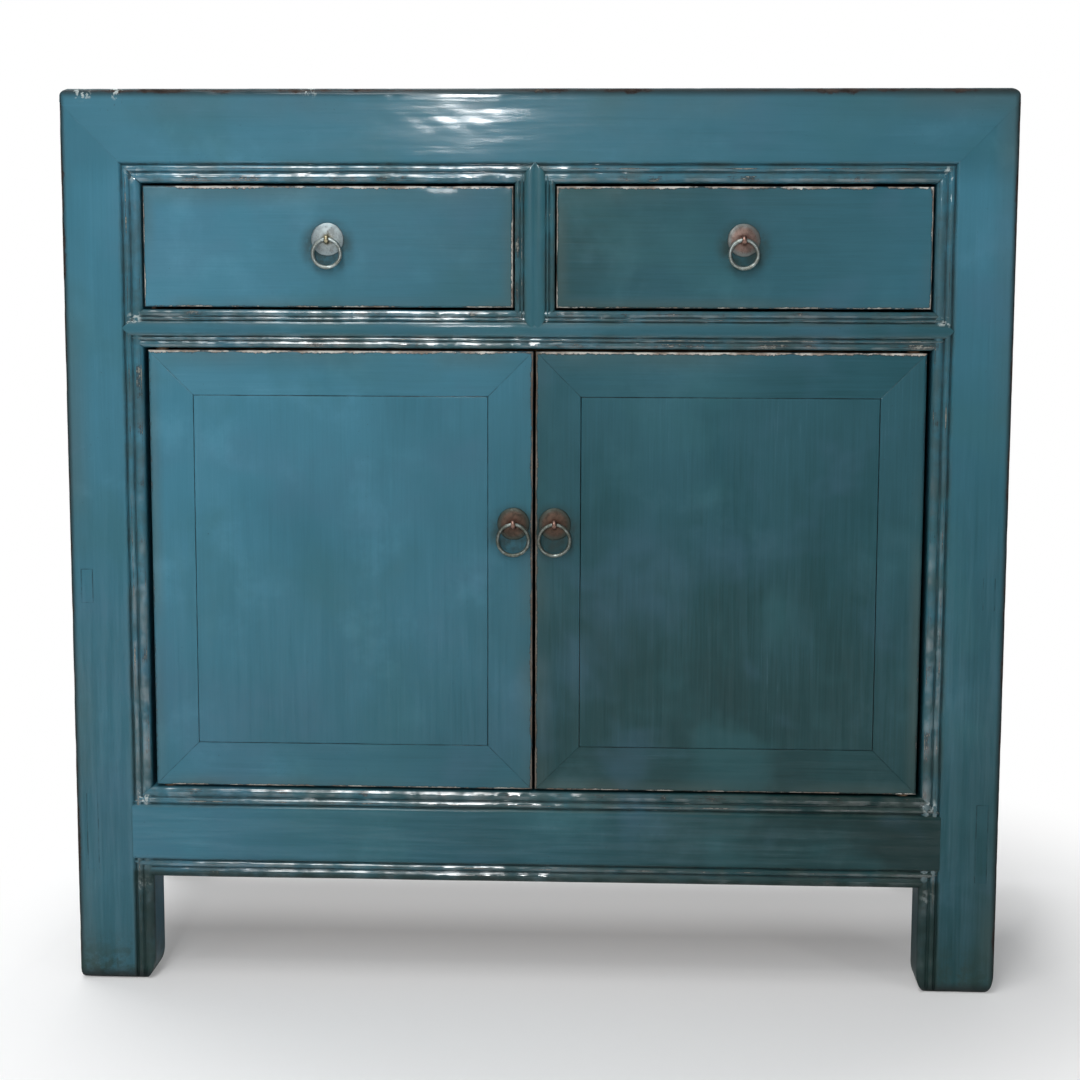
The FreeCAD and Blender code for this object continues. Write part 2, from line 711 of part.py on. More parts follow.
def door():
    """The left door: mitred frame, flush panel, battens and pull."""
    x0 = x_in + hinge_gap
    x1 = -meeting_gap / 2
    z0 = z_rail_top + door_gap
    z1 = z_mid_bottom - door_gap
    y0 = y_face
    y1 = y_face + door_thickness
    w = door_frame_width
    slab = rounded_board(x0, x1, y0, y1, z0, z1, door_face_round, hinge_round)

    def member(points):
        return slab.common(prism_xz(points, y0, y1))

    hinge_stile = member([(x0, z0), (x0 + w, z0 + w), (x0 + w, z1 - w), (x0, z1)])
    meeting_stile = member([(x1, z0), (x1 - w, z0 + w), (x1 - w, z1 - w), (x1, z1)])
    top = member([(x0, z1), (x0 + w, z1 - w), (x1 - w, z1 - w), (x1, z1)])
    low = member([(x0, z0), (x0 + w, z0 + w), (x1 - w, z0 + w), (x1, z0)])

    y_mid = (y0 + y1) / 2
    half = tongue_thickness / 2
    edge = 0.25 * w
    tongues = [block(x0 + edge, x1 - edge, y_mid - half, y_mid + half, a + edge, a + w - edge)
               for a in (z0, z1 - w)]
    corner_tongues = []
    for tongue in tongues:
        gap = block(x0 + w, x1 - w, y0, y1, z0, z1)
        corner_tongues.append(tongue.cut(gap))
    top = joined(top, corner_tongues[1])
    low = joined(low, corner_tongues[0])

    seam = door_panel_seam
    y_panel_back = y0 + door_panel_thickness
    a, b, c, d = x0 + w, x1 - w, z0 + w, z1 - w
    board = block(a + seam, b - seam, y0, y_panel_back, c + seam, d - seam)
    t = tongue_length
    y_tongue = y0 + door_panel_thickness / 2
    tongue = block(a - t, b + t, y_tongue - half, y_tongue + half, c - t, d + t)
    t += groove_play
    groove = block(a - t, b + t, y_tongue - half, y_tongue + half, c - t, d + t)
    span = d - c
    battens = [door_batten(c + share * span, a, b, y1, y_panel_back)
               for share in (batten_place, 1 - batten_place)]
    panel = joined(board, tongue).cut(battens)

    x, y = pivot_axis()
    reach = door_gap + pivot_length
    dowels = [bore(x, y, z1 - door_frame_width / 2, pivot_radius, door_frame_width / 2 + reach),
              bore(x, y, z0 - reach, pivot_radius, door_frame_width / 2 + reach)]
    plate, pin, ring, hole = pull(x1 - door_pull_inset, y0, (z0 + z1) / 2 + door_pull_lift, y1,
                                  door_ring_radius, door_ring_wire)
    hinge_stile = joined(hinge_stile.cut(corner_tongues + [groove]), *dowels)
    return {
        "hinge_stile": hinge_stile,
        "meeting_stile": meeting_stile.cut(corner_tongues + [groove, hole]),
        "top_rail": top.cut([groove] + dowels),
        "bottom_rail": low.cut([groove] + dowels),
        "panel": panel,
        "battens": Part.Compound(battens),
        "backplate": plate, "split_pin": pin, "ring": ring,
    }


def carcass():
    """Every fixed piece, by name."""
    holes = pivot_holes()
    upright, upright_notch = muntin()
    middle = centre_runner()
    runner = side_runner()
    rail_mid, mid_notch = mid_rail([upright, upright_notch, middle] + holes)
    rail_low, low_notch = front_rail(z_rail_foot, z_rail_top, bottom_rail_depth, moulding_steps())
    rear_mid = rear_rail(y_leg_rear, y_panel, z_run - mid_rail_height - 1, z_run - 1,
                         y_leg_rear + stub_length + 1)
    y_low = y_back - rear_rail_thickness
    rear_low = rear_rail(y_low, y_back - tenon_cheek, z_rail_foot, z_rail_top, y_low + tenon_cheek)
    rear_low = joined(rear_low, block(x_rear, -x_rear, y_low, y_back, z_rail_foot, z_rail_top))
    side_low = side_rail(z_rail_foot, z_rail_top)
    side_mid = side_rail(side_mid_low, side_mid_high)
    lower, lower_groove = side_panel(z_rail_top, side_mid_low)
    upper, upper_groove = side_panel(side_mid_high, z_open)
    back, back_groove = back_board()
    floor, floor_groove = floor_board()
    top, top_groove = top_board()
    share = width - 2 * top_frame_width
    battens = [top_batten(side * (0.5 - batten_place) * share) for side in (-1, 1)]

    side_grooves = [lower_groove, upper_groove]
    side_low = side_low.cut([lower_groove, floor_groove])
    side_mid = side_mid.cut(side_grooves)
    rail_low = rail_low.cut(holes + [floor_groove])
    leg = front_leg([rail_mid, mid_notch, rail_low, low_notch, side_low, side_mid, runner]
                    + side_grooves)
    post = rear_leg([rear_mid, rear_low, side_low, side_mid, runner, back_groove] + side_grooves)
    sockets = head_sockets()
    top_left = top_side_rail(sockets + [upper_groove, top_groove])
    sockets += [mirrored(socket) for socket in sockets]

    return {
        "front_left_leg": leg,
        "front_right_leg": mirrored(leg),
        "rear_left_leg": post,
        "rear_right_leg": mirrored(post),
        "top_front_rail": top_front_rail(sockets + [upright, upright_notch, top_groove] + battens),
        "top_rear_rail": top_rear_rail(sockets + [back_groove, top_groove] + battens),
        "top_left_rail": top_left,
        "top_right_rail": mirrored(top_left),
        "top_panel": top.cut(battens),
        "top_battens": Part.Compound(battens),
        "front_mid_rail": rail_mid,
        "drawer_muntin": upright,
        "rear_mid_rail": rear_mid.cut(middle),
        "left_runner": runner,
        "centre_runner": middle,
        "right_runner": mirrored(runner),
        "front_bottom_rail": rail_low,
        "rear_bottom_rail": rear_low.cut([back_groove, floor_groove]),
        "left_bottom_rail": side_low,
        "right_bottom_rail": mirrored(side_low),
        "left_mid_rail": side_mid,
        "right_mid_rail": mirrored(side_mid),
        "left_side_panels": Part.Compound([lower, upper]),
        "right_side_panels": Part.Compound([mirrored(lower), mirrored(upper)]),
        "back_panel": back,
        "bottom_panel": floor,
    }


def main():
    """Writes one STEP file for each piece."""
    pieces = carcass()
    swap = {"left_side": "right_side", "right_side": "left_side"}
    for name, shape in drawer().items():
        pieces["left_drawer_" + name] = shape
        pieces["right_drawer_" + swap.get(name, name)] = mirrored(shape)
    for name, shape in door().items():
        pieces["left_door_" + name] = shape
        pieces["right_door_" + name] = mirrored(shape)
    os.makedirs("parts", exist_ok=True)
    for name, shape in pieces.items():
        shape.exportStep("parts/" + name + ".step")


main()
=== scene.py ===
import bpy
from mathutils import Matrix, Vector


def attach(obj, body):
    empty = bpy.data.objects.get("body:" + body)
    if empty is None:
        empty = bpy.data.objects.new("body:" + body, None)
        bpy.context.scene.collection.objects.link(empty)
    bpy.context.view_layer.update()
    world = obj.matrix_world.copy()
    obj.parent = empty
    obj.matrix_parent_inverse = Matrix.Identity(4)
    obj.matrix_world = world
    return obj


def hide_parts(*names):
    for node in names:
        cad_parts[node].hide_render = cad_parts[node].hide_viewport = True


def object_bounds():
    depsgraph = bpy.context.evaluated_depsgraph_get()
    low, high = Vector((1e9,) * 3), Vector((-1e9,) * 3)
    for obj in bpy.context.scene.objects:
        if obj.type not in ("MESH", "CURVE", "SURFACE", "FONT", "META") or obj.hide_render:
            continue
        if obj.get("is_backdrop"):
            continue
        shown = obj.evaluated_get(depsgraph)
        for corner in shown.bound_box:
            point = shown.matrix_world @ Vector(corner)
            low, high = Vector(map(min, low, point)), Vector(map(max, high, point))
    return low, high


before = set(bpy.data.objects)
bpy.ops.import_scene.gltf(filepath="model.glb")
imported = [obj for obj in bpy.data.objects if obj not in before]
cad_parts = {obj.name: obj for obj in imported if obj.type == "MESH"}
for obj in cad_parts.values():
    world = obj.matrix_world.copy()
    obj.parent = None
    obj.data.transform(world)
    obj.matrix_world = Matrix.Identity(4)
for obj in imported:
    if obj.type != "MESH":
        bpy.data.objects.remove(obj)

import zlib
from inspect import signature

import bpy
import numpy as np
from mathutils import Matrix

cad_low, cad_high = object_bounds()

# A low cabinet in worn teal lacquer: two drawers over two doors. Sections are drawn in
# millimetres as (p, q), p across a face and q behind it, and meshes are made in metres.

half_width, height = 450.0, 868.0
front_plane, back_plane, face_plane = -195.25, 204.75, -193.25
leg_width, rear_leg_width, leg_depth = 75.0, 60.0, 45.0
leg_edge, top_edge, top_corner, foot_round = 3.0, 6.0, 10.0, 9.0
opening_top, drawer_floor, door_top, door_floor, rail_foot = 780.0, 661.0, 625.0, 195.0, 104.0
shoulder = 9.0
opening_side = half_width - leg_width
rear_side = half_width - rear_leg_width
top_height = height - opening_top
half_muntin, point_reach = 18.9, 20.0
frame_member, frame_thickness = 60.0, 32.0
side_rail, panel_recess, panel_thick, inner_skin = 28.0, 8.0, 12.0, 20.0
moulding_width, roll_drop, band_width, band_narrow = 20.0, 6.0, 12.8, 0.8
painted_depth = roll_drop + inner_skin
bottom_rail_depth, muntin_depth, top_panel_thick = 36.0, 32.0, 18.0
tenon_middle, tenon_width, tenon_depth, tenon_inset, tenon_proud = 434.0, 12.0, 6.0, 6.0, 0.03
door_frame, door_thick, door_panel_thick, drawer_thick = 43.0, 22.0, 15.0, 20.0
drawer_pull, door_pull = (196.5, 727.5), (19.75, 458.0)
# How far below each pull the darker halo round it centres, between the plate and the hanging ring.
touched_below = 7.0
pull_spots = np.array([(side * x, z - touched_below) for side in (-1, 1)
                       for x, z in (drawer_pull, door_pull)])
# Moulded corners, where the pale chips and painted glints gather.
corner_spots = np.array([(side * 384.0, z) for side in (-1, 1) for z in (789.0, 650.0, 186.0, 97.0)]
                        + [(0.0, 797.0), (-428.0, 864.0), (-396.0, 865.0), (-212.0, 865.0)])
# Tones and their slopes along X and Z are partly uneven fading and partly painted light and shade: lighter
# towards the top and towards the lit side.
top_tone, tone_from, tone_over = (0.75, -0.35, 0.0), 0.775, 0.025
FAR, HAIR = 99.0, 0.01
SIDES = (("left", -1), ("right", 1))
MARKS = ("edge", "seam", "crest", "hollow", "paint")
up, right, deep = (0, 0, 1), (1, 0, 0), (0, 1, 0)
down, out_of_back = (0, 0, -1), (0, -1, 0)


# Sections

def straight(a, b, step=6.0, breaks=()):
    """Points on a straight run from a up to b, without b: one close to each end so that shading
    stays flat, a pair a hair apart at each break, a distance from a, and the rest evenly spaced
    about a step apart."""
    a, b = np.array(a, float), np.array(b, float)
    length = np.linalg.norm(b - a)
    near = min(0.7, length / 4)
    even = np.linspace(0, length, max(2, int(length / step) + 1))[:-1]
    pairs = [spot + way * HAIR for spot in breaks for way in (-1, 1)]
    along = np.unique(np.round(np.concatenate([even, [near, length - near], pairs]), 3))
    return a + (b - a) * (along / length)[:, None]


def bow(a, m, b, count):
    """Points on the circle through a, m and b, from a up to b without b. The centre is where the
    perpendicular bisectors of a-m and m-b cross; the angle goes from a to b by way of m."""
    a, m, b = (np.array(v, float) for v in (a, m, b))
    centre = np.linalg.solve(2 * np.array([m - a, b - m]), [m @ m - a @ a, b @ b - m @ m])
    turn = [np.arctan2(*(v - centre)[::-1]) for v in (a, m, b)]
    sweep = (turn[2] - turn[0]) % (2 * np.pi)
    if (turn[1] - turn[0]) % (2 * np.pi) > sweep:
        sweep -= 2 * np.pi
    angle = turn[0] + sweep * np.arange(count) / count
    return centre + np.linalg.norm(a - centre) * np.column_stack([np.cos(angle), np.sin(angle)])


def corner(a, knee, b, count=5):
    """A round corner from a to b whose tangents meet at knee: the middle of the arc lies 0.293 of
    the way from knee to the chord's far corner."""
    a, knee, b = (np.array(v, float) for v in (a, knee, b))
    return bow(a, knee + 0.293 * (a - knee) + 0.293 * (b - knee), b, count)


def moulding_run():
    """Roll, quirk, reed, quirk and the rounded edge of the flat, from (0, 6) to before (20, 0)."""
    return [bow((0, roll_drop), (3.8, 1.2), (9.5, 3.4), 14), straight((9.5, 3.4), (10.7, 3.4), 0.4),
            bow((10.7, 3.4), (13.7, 0.6), (16.7, 3.4), 12), straight((16.7, 3.4), (17.9, 3.4), 0.4),
            bow((17.9, 3.4), (18.51, 0.99), (20, 0), 5)]


def band_run(narrow=1.0):
    """Roll, quirk, thin reed, quirk and the rounded edge of the middle band of a narrow bar, ending
    before (12.8, 0.6), all drawn together across by narrow."""
    runs = [bow((0, roll_drop), (2.7, 1.3), (6.3, 2.9), 11), straight((6.3, 2.9), (6.9, 2.9), 0.3),
            bow((6.9, 2.9), (8.3, 1.0), (9.9, 3.2), 9), straight((9.9, 3.2), (10.7, 3.2), 0.4),
            bow((10.7, 3.2), (11.31, 1.41), (12.8, 0.6), 5)]
    return [run * (narrow, 1) for run in runs]


moulding_crests = [(2.2, 2.0), (4.2, 1.15), (6.2, 1.5), (13.7, 0.6)]
moulding_quirks = [(10.1, 3.4), (17.3, 3.4)]
band_crests = [(1.6, 2.0), (2.9, 1.3), (4.6, 1.7), (8.3, 1.0)]
band_quirks = [(6.6, 2.9), (10.3, 3.2)]
frame_marks = {"crests": moulding_crests, "hollows": moulding_quirks}


def no_paint(p, q):
    """No point of the section is painted."""
    return p < -1


def outer_skin(p, q):
    """Only the face of the section and what lies close behind it is painted."""
    return q < inner_skin


def section(runs, edges=(), seams=(), crests=(), hollows=(), lacquered=None):
    """A closed section from runs of points. Each mark is the distance in millimetres from a point
    of the section to the nearest listed point, times that point's third number where it has one;
    lacquered tells the painted points from (p, q)."""
    points = np.vstack(runs)

    def nearest(marks):
        if not len(marks):
            return np.full(len(points), FAR)
        spots = np.array([(*m, 1.0)[:3] for m in marks])
        gaps = points[:, None] - spots[None, :, :2]
        return (np.linalg.norm(gaps, axis=2) * spots[:, 2]).min(axis=1)

    painted = np.ones(len(points)) if lacquered is None else lacquered(*points.T).astype(float)
    return {"points": points, "edge": nearest(edges), "seam": nearest(seams),
            "crest": nearest(crests), "hollow": nearest(hollows), "paint": painted}


def board_section(width, depth, near, far, back=0.5, step=8.0, seam=(), painted=None, rub=(1.0, 1.0),
                  tongued=False):
    """A board's section: a rectangle of width by depth whose front corners are rounded by near and
    far and whose back corners by back. A corner named in seam is a joint line, not a worn edge, and
    rub below 1 makes the wear at the near or the far corner wider; on the top edges of drawers and
    doors that wider pale wear is partly a painted highlight. painted tells the lacquered points
    from (p, q); without it only the back is bare. The far side of a tongued board has a break at the
    shoulder."""
    runs = [
        straight((0, depth - back), (0, near)), corner((0, near), (0, 0), (near, 0)),
        straight((near, 0), (width - far, 0), step), corner((width - far, 0), (width, 0), (width, far)),
        straight((width, far), (width, depth - back), breaks=[shoulder - far] if tongued else ()),
        corner((width, depth - back), (width, depth), (width - back, depth), 3),
        straight((width - back, depth), (back, depth), 3 * step),
        corner((back, depth), (0, depth), (0, depth - back), 3),
    ]
    ends = {"near": (0, 0, rub[0]), "far": (width, 0, rub[1])}
    worn = [ends[k] for k in ends if k not in seam]
    joints = [ends[k] for k in seam]
    return section(runs, edges=worn, seams=joints, lacquered=painted or (lambda p, q: q < depth - 1.0))


# Surfaces

def ripple(x, y, seed, count=7):
    """A slow unevenness between about -1 and 1: a sum of sine waves of seeded directions, lengths
    and phases, each as high as it is long."""
    random = np.random.default_rng(seed)
    angle, wave, phase = (random.uniform(low, high, count) for low, high in
                          ((0, np.pi), (0.5, 2.4), (0, 2 * np.pi)))
    turn = 2 * np.pi * wave * (x[..., None] * np.cos(angle) + y[..., None] * np.sin(angle)) + phase
    return (np.sin(turn) / wave).sum(axis=-1) / np.sqrt(count)


def swell(x, y, seed):
    """A ripple between 0 and 1."""
    return 0.5 + 0.5 * np.clip(ripple(x, y, seed), -1, 1)


def dents(x, y, seed):
    """The high places of a ripple, squared, between 0 and 1 and mostly 0."""
    return np.clip(ripple(x, y, seed), 0, 1) ** 2


def ease(gap, radius):
    """How far a rounded edge of that radius stands back at a distance gap from the edge's plane."""
    inside = np.clip(radius - gap, 0, radius)
    return radius - np.sqrt(radius ** 2 - inside ** 2)


def full_turn(count):
    """So many equal angles round a circle."""
    return np.arange(count) / count * 2 * np.pi


def loop_faces(rows, count, looped=False):
    """Faces between rows of points that are closed loops: each row is joined to the next, and the
    last to the first where looped, else both end rows are closed by caps."""
    index = np.arange(rows * count).reshape(rows, count)
    low, high = (index, np.roll(index, -1, 0)) if looped else (index[:-1], index[1:])
    quads = np.stack([low, np.roll(low, -1, 1), np.roll(high, -1, 1), high], axis=-1).reshape(-1, 4)
    return quads, [] if looped else [index[0][::-1], index[-1]]


def turned(quads, caps):
    """The same faces seen from their other side."""
    return quads[:, ::-1], [cap[::-1] for cap in caps]


def carry(shape, place, start, stop, name, step=6.0, ends=("seam", "seam"), end_round=0.0,
          foot=(), uneven=0.16, dip=0.28, lumpy=(), fine_wave=0.0):
    """A section carried along a straight line. Point (i, j) is section point j, set back along its
    own normal by a slow ripple, by a finer one where fine_wave is given, by chips at worn edges, by
    lumps of old paint on the rolls and reeds and by a fine dip at joints, brought forward where paint
    clogs a quirk and moved across by a slow wobble on mouldings, and lies at
    start_j + u_i (stop_j - start_j) along the line, with u denser towards both ends. end_round
    rounds the front edge at both ends, foot rounds the edges at the start, taller than wide by the
    sizes given for the near and the far side. The lumps are higher by bell curves about the places in
    lumpy, pairs of place and width. Both ends are closed."""
    origin, across, behind, along_line = (np.array(v, float) for v in place)
    points = shape["points"]
    p, q = points.T
    first, last = (np.broadcast_to(np.asarray(end(p, q) if callable(end) else end, float), p.shape)
                   for end in (start, stop))
    longest = (last - first).max()
    near = np.array([0, 0.12, 0.35, 0.8, 1.6, 3.2, 6.0, 9.0]) / longest
    near = near[near < 0.2]
    middle = np.linspace(near[-1], 1 - near[-1], max(3, int(longest / step)))[1:-1]
    share = np.concatenate([near, middle, 1 - near[::-1]])[:, None]
    along = first + (last - first) * share

    tangent = np.roll(points, -1, 0) - np.roll(points, 1, 0)
    area = (p * np.roll(q, -1) - np.roll(p, -1) * q).sum()
    normal = np.column_stack([tangent[:, 1], -tangent[:, 0]]) * np.sign(area)
    normal /= np.linalg.norm(normal, axis=1)[:, None]
    around = np.concatenate([[0], np.cumsum(np.linalg.norm(np.diff(points, axis=0), axis=1))])
    around = np.broadcast_to(around, along.shape)
    from_start, to_stop = along - first, last - along
    to_seam, to_edge = (np.minimum(*[gap if end == kind else np.full_like(along, FAR)
                                     for gap, end in zip((from_start, to_stop), ends)])
                        for kind in ("seam", "edge"))

    seed = zlib.crc32(name.encode())
    knocks = dents(along / 34, around / 60, seed + 1)
    chips = 0.45 * knocks + 0.15 * dents(along / 9, around / 20, seed + 2)
    thick = 1 + sum((1.4 * np.exp(-((along - spot) / width) ** 2) for spot, width in lumpy), 0 * along)
    lumps = 0.2 * knocks + 0.28 * swell(along / 24, around / 30, seed + 3) * thick
    set_back = uneven * swell(along / 260, around / 120, seed) + dip * np.exp(-to_seam / 0.5)
    if fine_wave:
        set_back = set_back + fine_wave * swell(along / 55, around / 15, seed + 5)
    set_back = set_back + chips * np.exp(-shape["edge"] / 1.3) + lumps * np.exp(-shape["crest"] / 2.2)
    set_back = set_back - 1.5 * knocks * np.exp(-(shape["hollow"] / 0.9) ** 2)
    on_moulding = np.exp(-(np.minimum(shape["crest"], shape["hollow"]) / 5) ** 2)
    wobble = 0.2 * ripple(along / 90, 0 * along, seed + 4) * on_moulding
    across_by = p - normal[:, 0] * set_back + wobble
    behind_by = q - normal[:, 1] * set_back
    if end_round:
        behind_by = np.maximum(behind_by, ease(to_edge, end_round))
    if foot:
        near_side, far_side = (ease(0.5 * from_start, size * (0.8 + 0.2 * knocks)) for size in foot)
        across_by = np.clip(across_by, p.min() + near_side, p.max() - far_side)
        kept = ease(from_start, foot_round * (0.75 + 0.25 * knocks))
        behind_by = np.clip(behind_by, q.min() + kept, q.max() - kept)
    spots = (origin + across_by[..., None] * across + behind_by[..., None] * behind
             + along[..., None] * along_line)

    quads, caps = loop_faces(*along.shape)
    if area * np.linalg.det([across, behind, along_line]) < 0:
        quads, caps = turned(quads, caps)
    shift = np.random.default_rng(seed).uniform(-4000, 4000, 3)
    grain = np.stack([along, around, np.zeros_like(along)], axis=-1) + shift
    marks = {**shape, "edge": np.minimum(shape["edge"], to_edge), "seam": np.minimum(shape["seam"], to_seam)}
    return {"spots": spots.reshape(-1, 3), "quads": quads, "caps": caps, "grain": grain.reshape(-1, 3),
            **{mark: np.broadcast_to(marks[mark], along.shape).ravel() for mark in MARKS}}


def peg(centre, low, high, radius, name):
    """An upright round peg: a circle carried along Z."""
    turn = full_turn(24)
    ring = radius * np.column_stack([np.cos(turn), np.sin(turn)]) + radius
    place = ((centre[0] - radius, centre[1] - radius, 0), right, deep, up)
    return carry(section([ring], lacquered=no_paint), place, low, high, name, step=3.0, uneven=0.05)


def soften_outline(spots):
    """Rounds the cabinet's outer edges: where a point lies outside the quarter circle that joins two
    outer planes, it is drawn back along the radius. Upright edges by 3, the edges of the top by 6
    at the front and back and by 10 at the sides."""
    out = spots.copy()
    x_gap = half_width - np.abs(out[:, 0])
    y_gap = np.minimum(out[:, 1] - front_plane, back_plane - out[:, 1])
    z_gap = height - out[:, 2]

    def draw_in(a, b, radius):
        u, v = radius - a, radius - b
        far = np.hypot(u, v)
        hit = (u > 0) & (v > 0) & (far > radius)
        scale = np.where(hit, radius / np.maximum(far, 1e-9), 1.0)
        return np.where(hit, radius - u * scale, a), np.where(hit, radius - v * scale, b)

    x_gap, y_gap = draw_in(x_gap, y_gap, leg_edge)
    x_gap, z_gap = draw_in(x_gap, z_gap, top_corner)
    y_gap, z_gap = draw_in(y_gap, z_gap, top_edge)
    out[:, 0] = np.sign(out[:, 0]) * (half_width - x_gap)
    nearer_front = out[:, 1] - front_plane < back_plane - out[:, 1]
    out[:, 1] = np.where(nearer_front, front_plane + y_gap, back_plane - y_gap)
    out[:, 2] = height - z_gap
    return out


def piece(name, shells, finish, body, slot_name="lacquered_wood", soften=False, tone=(0.75, 0.0, 0.0)):
    """One object from closed shells, in place of the node of its name: their points in metres, with
    the marks as point attributes. The marks pull and corner are the distances from the nearest pull
    and moulded corner, seen from the front. tone is how light the lacquer is at the middle of the
    front, and its change per metre along X and Z: partly uneven fading and partly painted light and
    shade, lighter towards the top and lighter or darker along X as the light falls on each piece.
    The pieces at the outline are softened, and above the openings they all have the top's tone."""
    starts = np.cumsum([0] + [len(s["spots"]) for s in shells])
    faces = []
    for begin, shell in zip(starts, shells):
        faces += (shell["quads"] + begin).tolist()
    smooth = len(faces)
    for begin, shell in zip(starts, shells):
        faces += [(cap + begin).tolist() for cap in shell["caps"]]
    marks = {m: np.concatenate([s[m] for s in shells]) for m in ("spots", "grain", *MARKS)}
    spots, grain = marks.pop("spots"), marks.pop("grain") * 0.001
    if soften:
        spots = soften_outline(spots)
    mesh = bpy.data.meshes.new(name)
    mesh.from_pydata((spots * 0.001).tolist(), [], faces)
    mesh.polygons.foreach_set("use_smooth", np.arange(len(faces)) < smooth)
    for mark, seats in (("pull", pull_spots), ("corner", corner_spots)):
        marks[mark] = np.hypot(*(spots[:, None, k] - seats[None, :, k // 2] for k in (0, 2))).min(axis=1)
    # The tone mark: per-piece lightness with slopes along X and Z, partly fading and partly painted light and
    # shade.
    across, level = spots[:, 0] * 0.001, spots[:, 2] * 0.001
    marks["tone"] = tone[0] + tone[1] * across + tone[2] * (level - height * 0.0005)
    if soften:
        head = np.clip((level - tone_from) / tone_over, 0, 1)
        marks["tone"] += head * (top_tone[0] + top_tone[1] * across - marks["tone"])
    for mark, values in marks.items():
        mesh.attributes.new(mark, "FLOAT", "POINT").data.foreach_set("value", values.astype(np.float32))
    strokes = mesh.attributes.new("grain", "FLOAT_VECTOR", "POINT")
    strokes.data.foreach_set("vector", grain.astype(np.float32).ravel())
    mesh.update()
    made = bpy.data.objects.new(name, mesh)
    bpy.context.scene.collection.objects.link(made)
    mesh.materials.append(finish)
    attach(made, body)
    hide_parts(name)


def frame_piece(name, shells, **more):
    """A piece of the cabinet's fixed frame."""
    piece(name, shells, frame_lacquer, "carcass", **more)


# Finishes

def add(tree, kind, inputs, **settings):
    """A shader node of that kind in a tree, with its settings and inputs."""
    node = tree.nodes.new("ShaderNode" + kind)
    for key, value in settings.items():
        setattr(node, key, value)
    feed(node, inputs)
    return node


def feed(node, inputs):
    """Links a node's inputs to values, or sets them; a colour without alpha is opaque."""
    for key, value in inputs.items():
        socket = node.inputs[key]
        if isinstance(value, Value):
            node.id_data.links.new(value.socket, socket)
        else:
            socket.default_value = (*value, 1) if socket.type == "RGBA" and len(value) == 3 else value


class Value:
    """What a shader node gives out. Arithmetic with values adds nodes to their tree."""

    def __init__(self, socket):
        self.socket = socket

    def node(self, kind, inputs, output=0, **settings):
        return Value(add(self.socket.id_data, kind, inputs, **settings).outputs[output])

    def math(self, how, other, clamp=False):
        return self.node("Math", {0: self, 1: other}, operation=how, use_clamp=clamp)

    def __add__(self, other):
        return self.math("ADD", other)

    def __sub__(self, other):
        return self.math("SUBTRACT", other)

    def __rsub__(self, other):
        return self.node("Math", {0: other, 1: self}, operation="SUBTRACT")

    def __mul__(self, other):
        return self.math("MULTIPLY", other)

    def most(self, *others):
        for other in others:
            self = self.math("MAXIMUM", other)
        return self

    def vector(self, how, *others, output=0):
        return self.node("VectorMath", dict(enumerate((self, *others))), output, operation=how)

    def parts(self):
        """A vector's three parts."""
        return outputs(add(self.socket.id_data, "SeparateXYZ", {0: self}))

    def noise(self, scale, detail=4.0, rough=0.55, distort=0.0):
        return self.node("TexNoise", {"Vector": self, "Scale": scale, "Detail": detail,
                                      "Roughness": rough, "Distortion": distort})

    def drawn_out(self, stretch, *kind):
        """Noise of a kind, drawn out along the axes."""
        return self.vector("MULTIPLY", stretch).noise(1.0, *kind)

    def span(self, low, high, to_low=0.0, to_high=1.0, how="SMOOTHSTEP"):
        """to_low up to low, to_high from high on, and smooth in between."""
        inputs = {"Value": self, "From Min": low, "From Max": high, "To Min": to_low, "To Max": to_high}
        return self.node("MapRange", inputs, clamp=True, interpolation_type=how)

    def under(self, low, high, share=1.0):
        """share up to low, nothing from high on."""
        return self.span(low, high, share, 0.0)

    def mark(self, name, kind="Fac"):
        """The mesh's mark of that name at this place."""
        return self.node("Attribute", {}, kind, attribute_name=name)

    def relief(self, strength, distance):
        """The normal of a surface that rises by this value."""
        return self.node("Bump", {"Height": self, "Strength": strength, "Distance": distance})


def outputs(node):
    """All that a node gives out."""
    return [Value(socket) for socket in node.outputs]


def layers(colour, *coats):
    """A colour with others over it, each a pair of its share and itself."""
    for share, tint in coats:
        colour = share.node("Mix", {"Factor": share, 6: colour, 7: tint}, 2, data_type="RGBA")
    return colour


def grouped(build):
    """Makes a shader node group of a function from a vector and numbers to named numbers. Gives back
    a function that places the group in the vector's tree."""
    group = bpy.data.node_groups.new(build.__name__, "ShaderNodeTree")
    names = signature(build).parameters
    for number, name in enumerate(names):
        kind = "NodeSocketFloat" if number else "NodeSocketVector"
        group.interface.new_socket(name.capitalize(), in_out="INPUT", socket_type=kind)
    made = build(*outputs(group.nodes.new("NodeGroupInput"))[:len(names)])
    for name in made:
        group.interface.new_socket(name, in_out="OUTPUT", socket_type="NodeSocketFloat")
    feed(group.nodes.new("NodeGroupOutput"), made)

    def placed(vector, *numbers):
        inputs = dict(enumerate((vector, *numbers)))
        return outputs(add(vector.socket.id_data, "Group", inputs, node_tree=group))
    return placed


@grouped
def brush_strokes(grain):
    """Strokes along the grain: noise drawn out along the first axis, coarse, fine and in patches."""
    return {"Coarse": grain.drawn_out((7.0, 130.0, 1.0), 5.0, 0.6, 0.4),
            "Fine": grain.drawn_out((14.0, 520.0, 1.0), 4.0, 0.65, 0.2),
            "Patch": grain.drawn_out((6.0, 11.0, 1.0), 4.0, 0.52, 0.3)}


@grouped
def edge_wear(place, edge, crest, reach, cover):
    """Where handling has rubbed the lacquer through: a distance from the edge, let in and out by
    patchy noise. Rim is the dark primer line round the bare part."""
    patch, grit = place.noise(26.0, 4.0, 0.6), place.noise(310.0, 4.0, 0.7)
    gap = edge.math("MINIMUM", crest * 1.2 + 0.5)
    inside = (patch + cover).span(0.45, 0.75) * reach * grit.span(0.25, 0.75, 0.5, 1.35) - gap
    return {"Bare": inside.span(-0.05, 0.25), "Rim": inside.span(-0.75, 0.1)}


